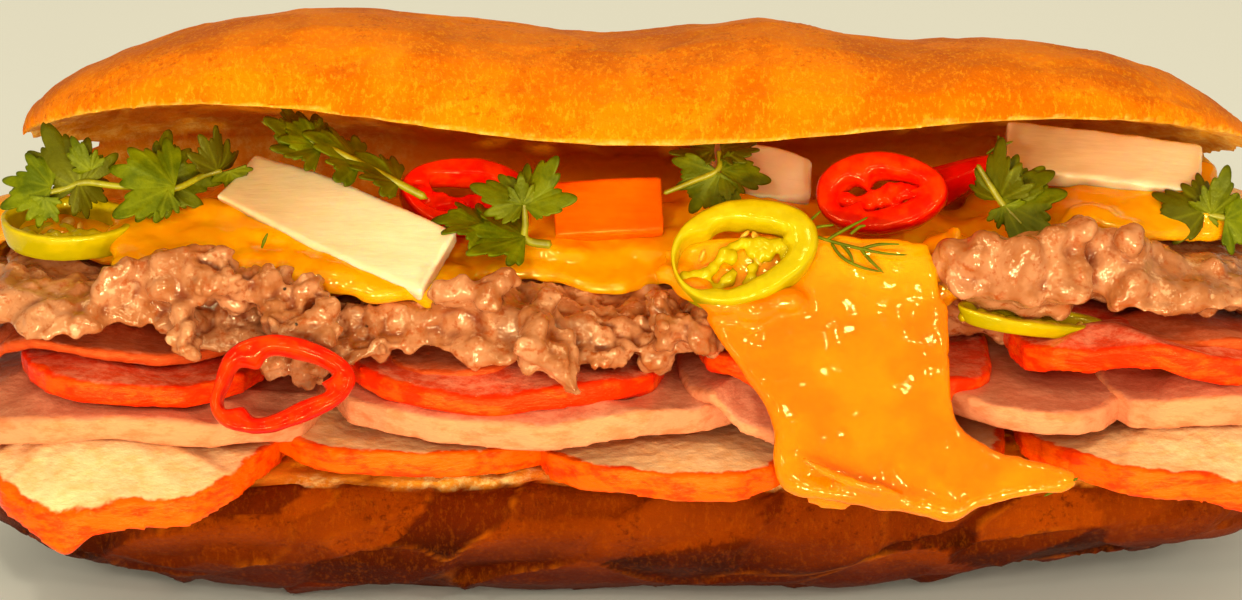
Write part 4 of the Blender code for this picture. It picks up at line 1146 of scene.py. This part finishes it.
SCRAPS = (  # loose bits of herb, as paths in millimetres
    ((60.4, -46.5, 30.0), (63.0, -46.8, 31.6), (65.6, -46.6, 33.2)),
    ((53.6, -9, 71.0), (55.4, -9, 72.2), (57.8, -9, 73.2)),
    ((55.2, -9, 71.0), (55.6, -9, 72.8), (55.4, -9, 74.2)),
    ((-58.0, -22, 60.4), (-57.6, -22, 61.6), (-57.0, -21.6, 62.8)),
)


def add_leaf(start, points_to, faces, length, curl, shade, seed):
    """One lobed leaf, cupped and rippled, built flat from a grid and then laid in its place."""
    bpy.ops.object.select_all(action="DESELECT")
    bpy.ops.mesh.primitive_grid_add(x_subdivisions=9, y_subdivisions=100, size=2.0, location=(0, 0, 0))
    piece = bpy.context.active_object
    grid = read(piece)
    rng = random.Random(seed)
    along, angle = (grid[:, 0] + 1) / 2, grid[:, 1] * LEAF_SPREAD
    reach, vein = np.full(len(grid), 0.34), np.zeros(len(grid))
    for middle, longest in LOBES:
        off = np.abs(angle - middle - rng.uniform(-0.12, 0.12))
        longest *= rng.uniform(0.72, 1.15)
        teeth = 0.79 + 0.21 * np.abs(np.cos(off * rng.uniform(8.0, 10.5))) ** 0.8
        reach = np.maximum(reach, longest * teeth * (1 - 0.66 * np.abs(off / LOBE_REACH) ** 1.9))
        vein = np.maximum(vein, np.exp(-((off * along * length / 0.22) ** 2)) * (1 - 0.5 * along))
    radius = along * reach * length
    x, y = radius * np.cos(angle), radius * np.sin(angle)
    folds = -0.045 * length * np.cos(angle * 5.0 + seed) * along**2
    lift = folds - curl * radius**2 / length * 0.6 + 0.05 * length * np.sin(x / length * 5 + seed) * along
    ahead = Vector(points_to).normalized()
    side = Vector(faces).cross(ahead).normalized()
    up = ahead.cross(side)
    frame_axes = np.array((ahead, side, up))
    put(piece, (np.stack([x, y, lift], axis=1) @ frame_axes + np.array(start)) * MM)
    alone(piece)
    bpy.ops.object.mode_set(mode="EDIT")
    bpy.ops.mesh.select_all(action="SELECT")
    bpy.ops.mesh.remove_doubles(threshold=0.02 * MM)
    bpy.ops.object.mode_set(mode="OBJECT")
    return piece, start, length


def add_herbs():
    leaves = None
    for seed, leaf in enumerate(GREENS):
        piece, start, length = add_leaf(*leaf, seed)
        points = read(piece) / MM - np.array(start)
        away = np.linalg.norm(points, axis=1) / length
        ahead = Vector(leaf[1]).normalized()
        angle = np.arccos(np.clip(points @ np.array(ahead) / np.maximum(away * length, 1e-6), -1, 1))
        near = np.min([np.abs(angle - abs(middle)) for middle, _ in LOBES], axis=0)
        marked(piece, "vein", np.exp(-((near * away * length / 0.2) ** 2)) * (1 - 0.7 * away) * 0.2)
        marked(piece, "shade", np.full(len(points), leaf[5]))
        shaped(piece, "SOLIDIFY", thickness=0.28 * MM, offset=0.0)
        leaves = joined(leaves, piece) if leaves else piece
    leaves.name = "coriander_leaves"
    served(leaves, leaf_finish(), "green_chilli")
    stems = None
    for path, radii in STEMS:
        piece = stem("stem", path, radii)
        stems = joined(stems, piece) if stems else piece
    stems.name = "coriander_stems"
    served(stems, stem_finish(), "green_chilli")
    dill = None
    lie = np.array(DILL_LIE)
    for thread in DILL:
        path = [np.array(DILL_START) + np.array((across, 0, 0)) + lie * up for across, up in thread]
        piece = stem("thread", path, (0.24, 0.27, 0.13), 6, 14)
        dill = joined(dill, piece) if dill else piece
    for path in SCRAPS:
        dill = joined(dill, stem("scrap", path, (0.15, 0.32, 0.15), 6, 10))
    dill.name = "dill"
    marked(dill, "vein", np.full(len(dill.data.vertices), 0.1))
    marked(dill, "shade", np.full(len(dill.data.vertices), 0.2))
    served(dill, leaf_finish(), "green_chilli")


def main():
    add_camera()
    add_studio()
    add_loaf()
    add_slices()
    add_minced("minced_meat_left", 3, 760, 0.1)
    add_minced("minced_meat_right", 4, 380, 0.6)
    add_sauce()
    add_roots()
    add_chillies()
    add_herbs()


main()
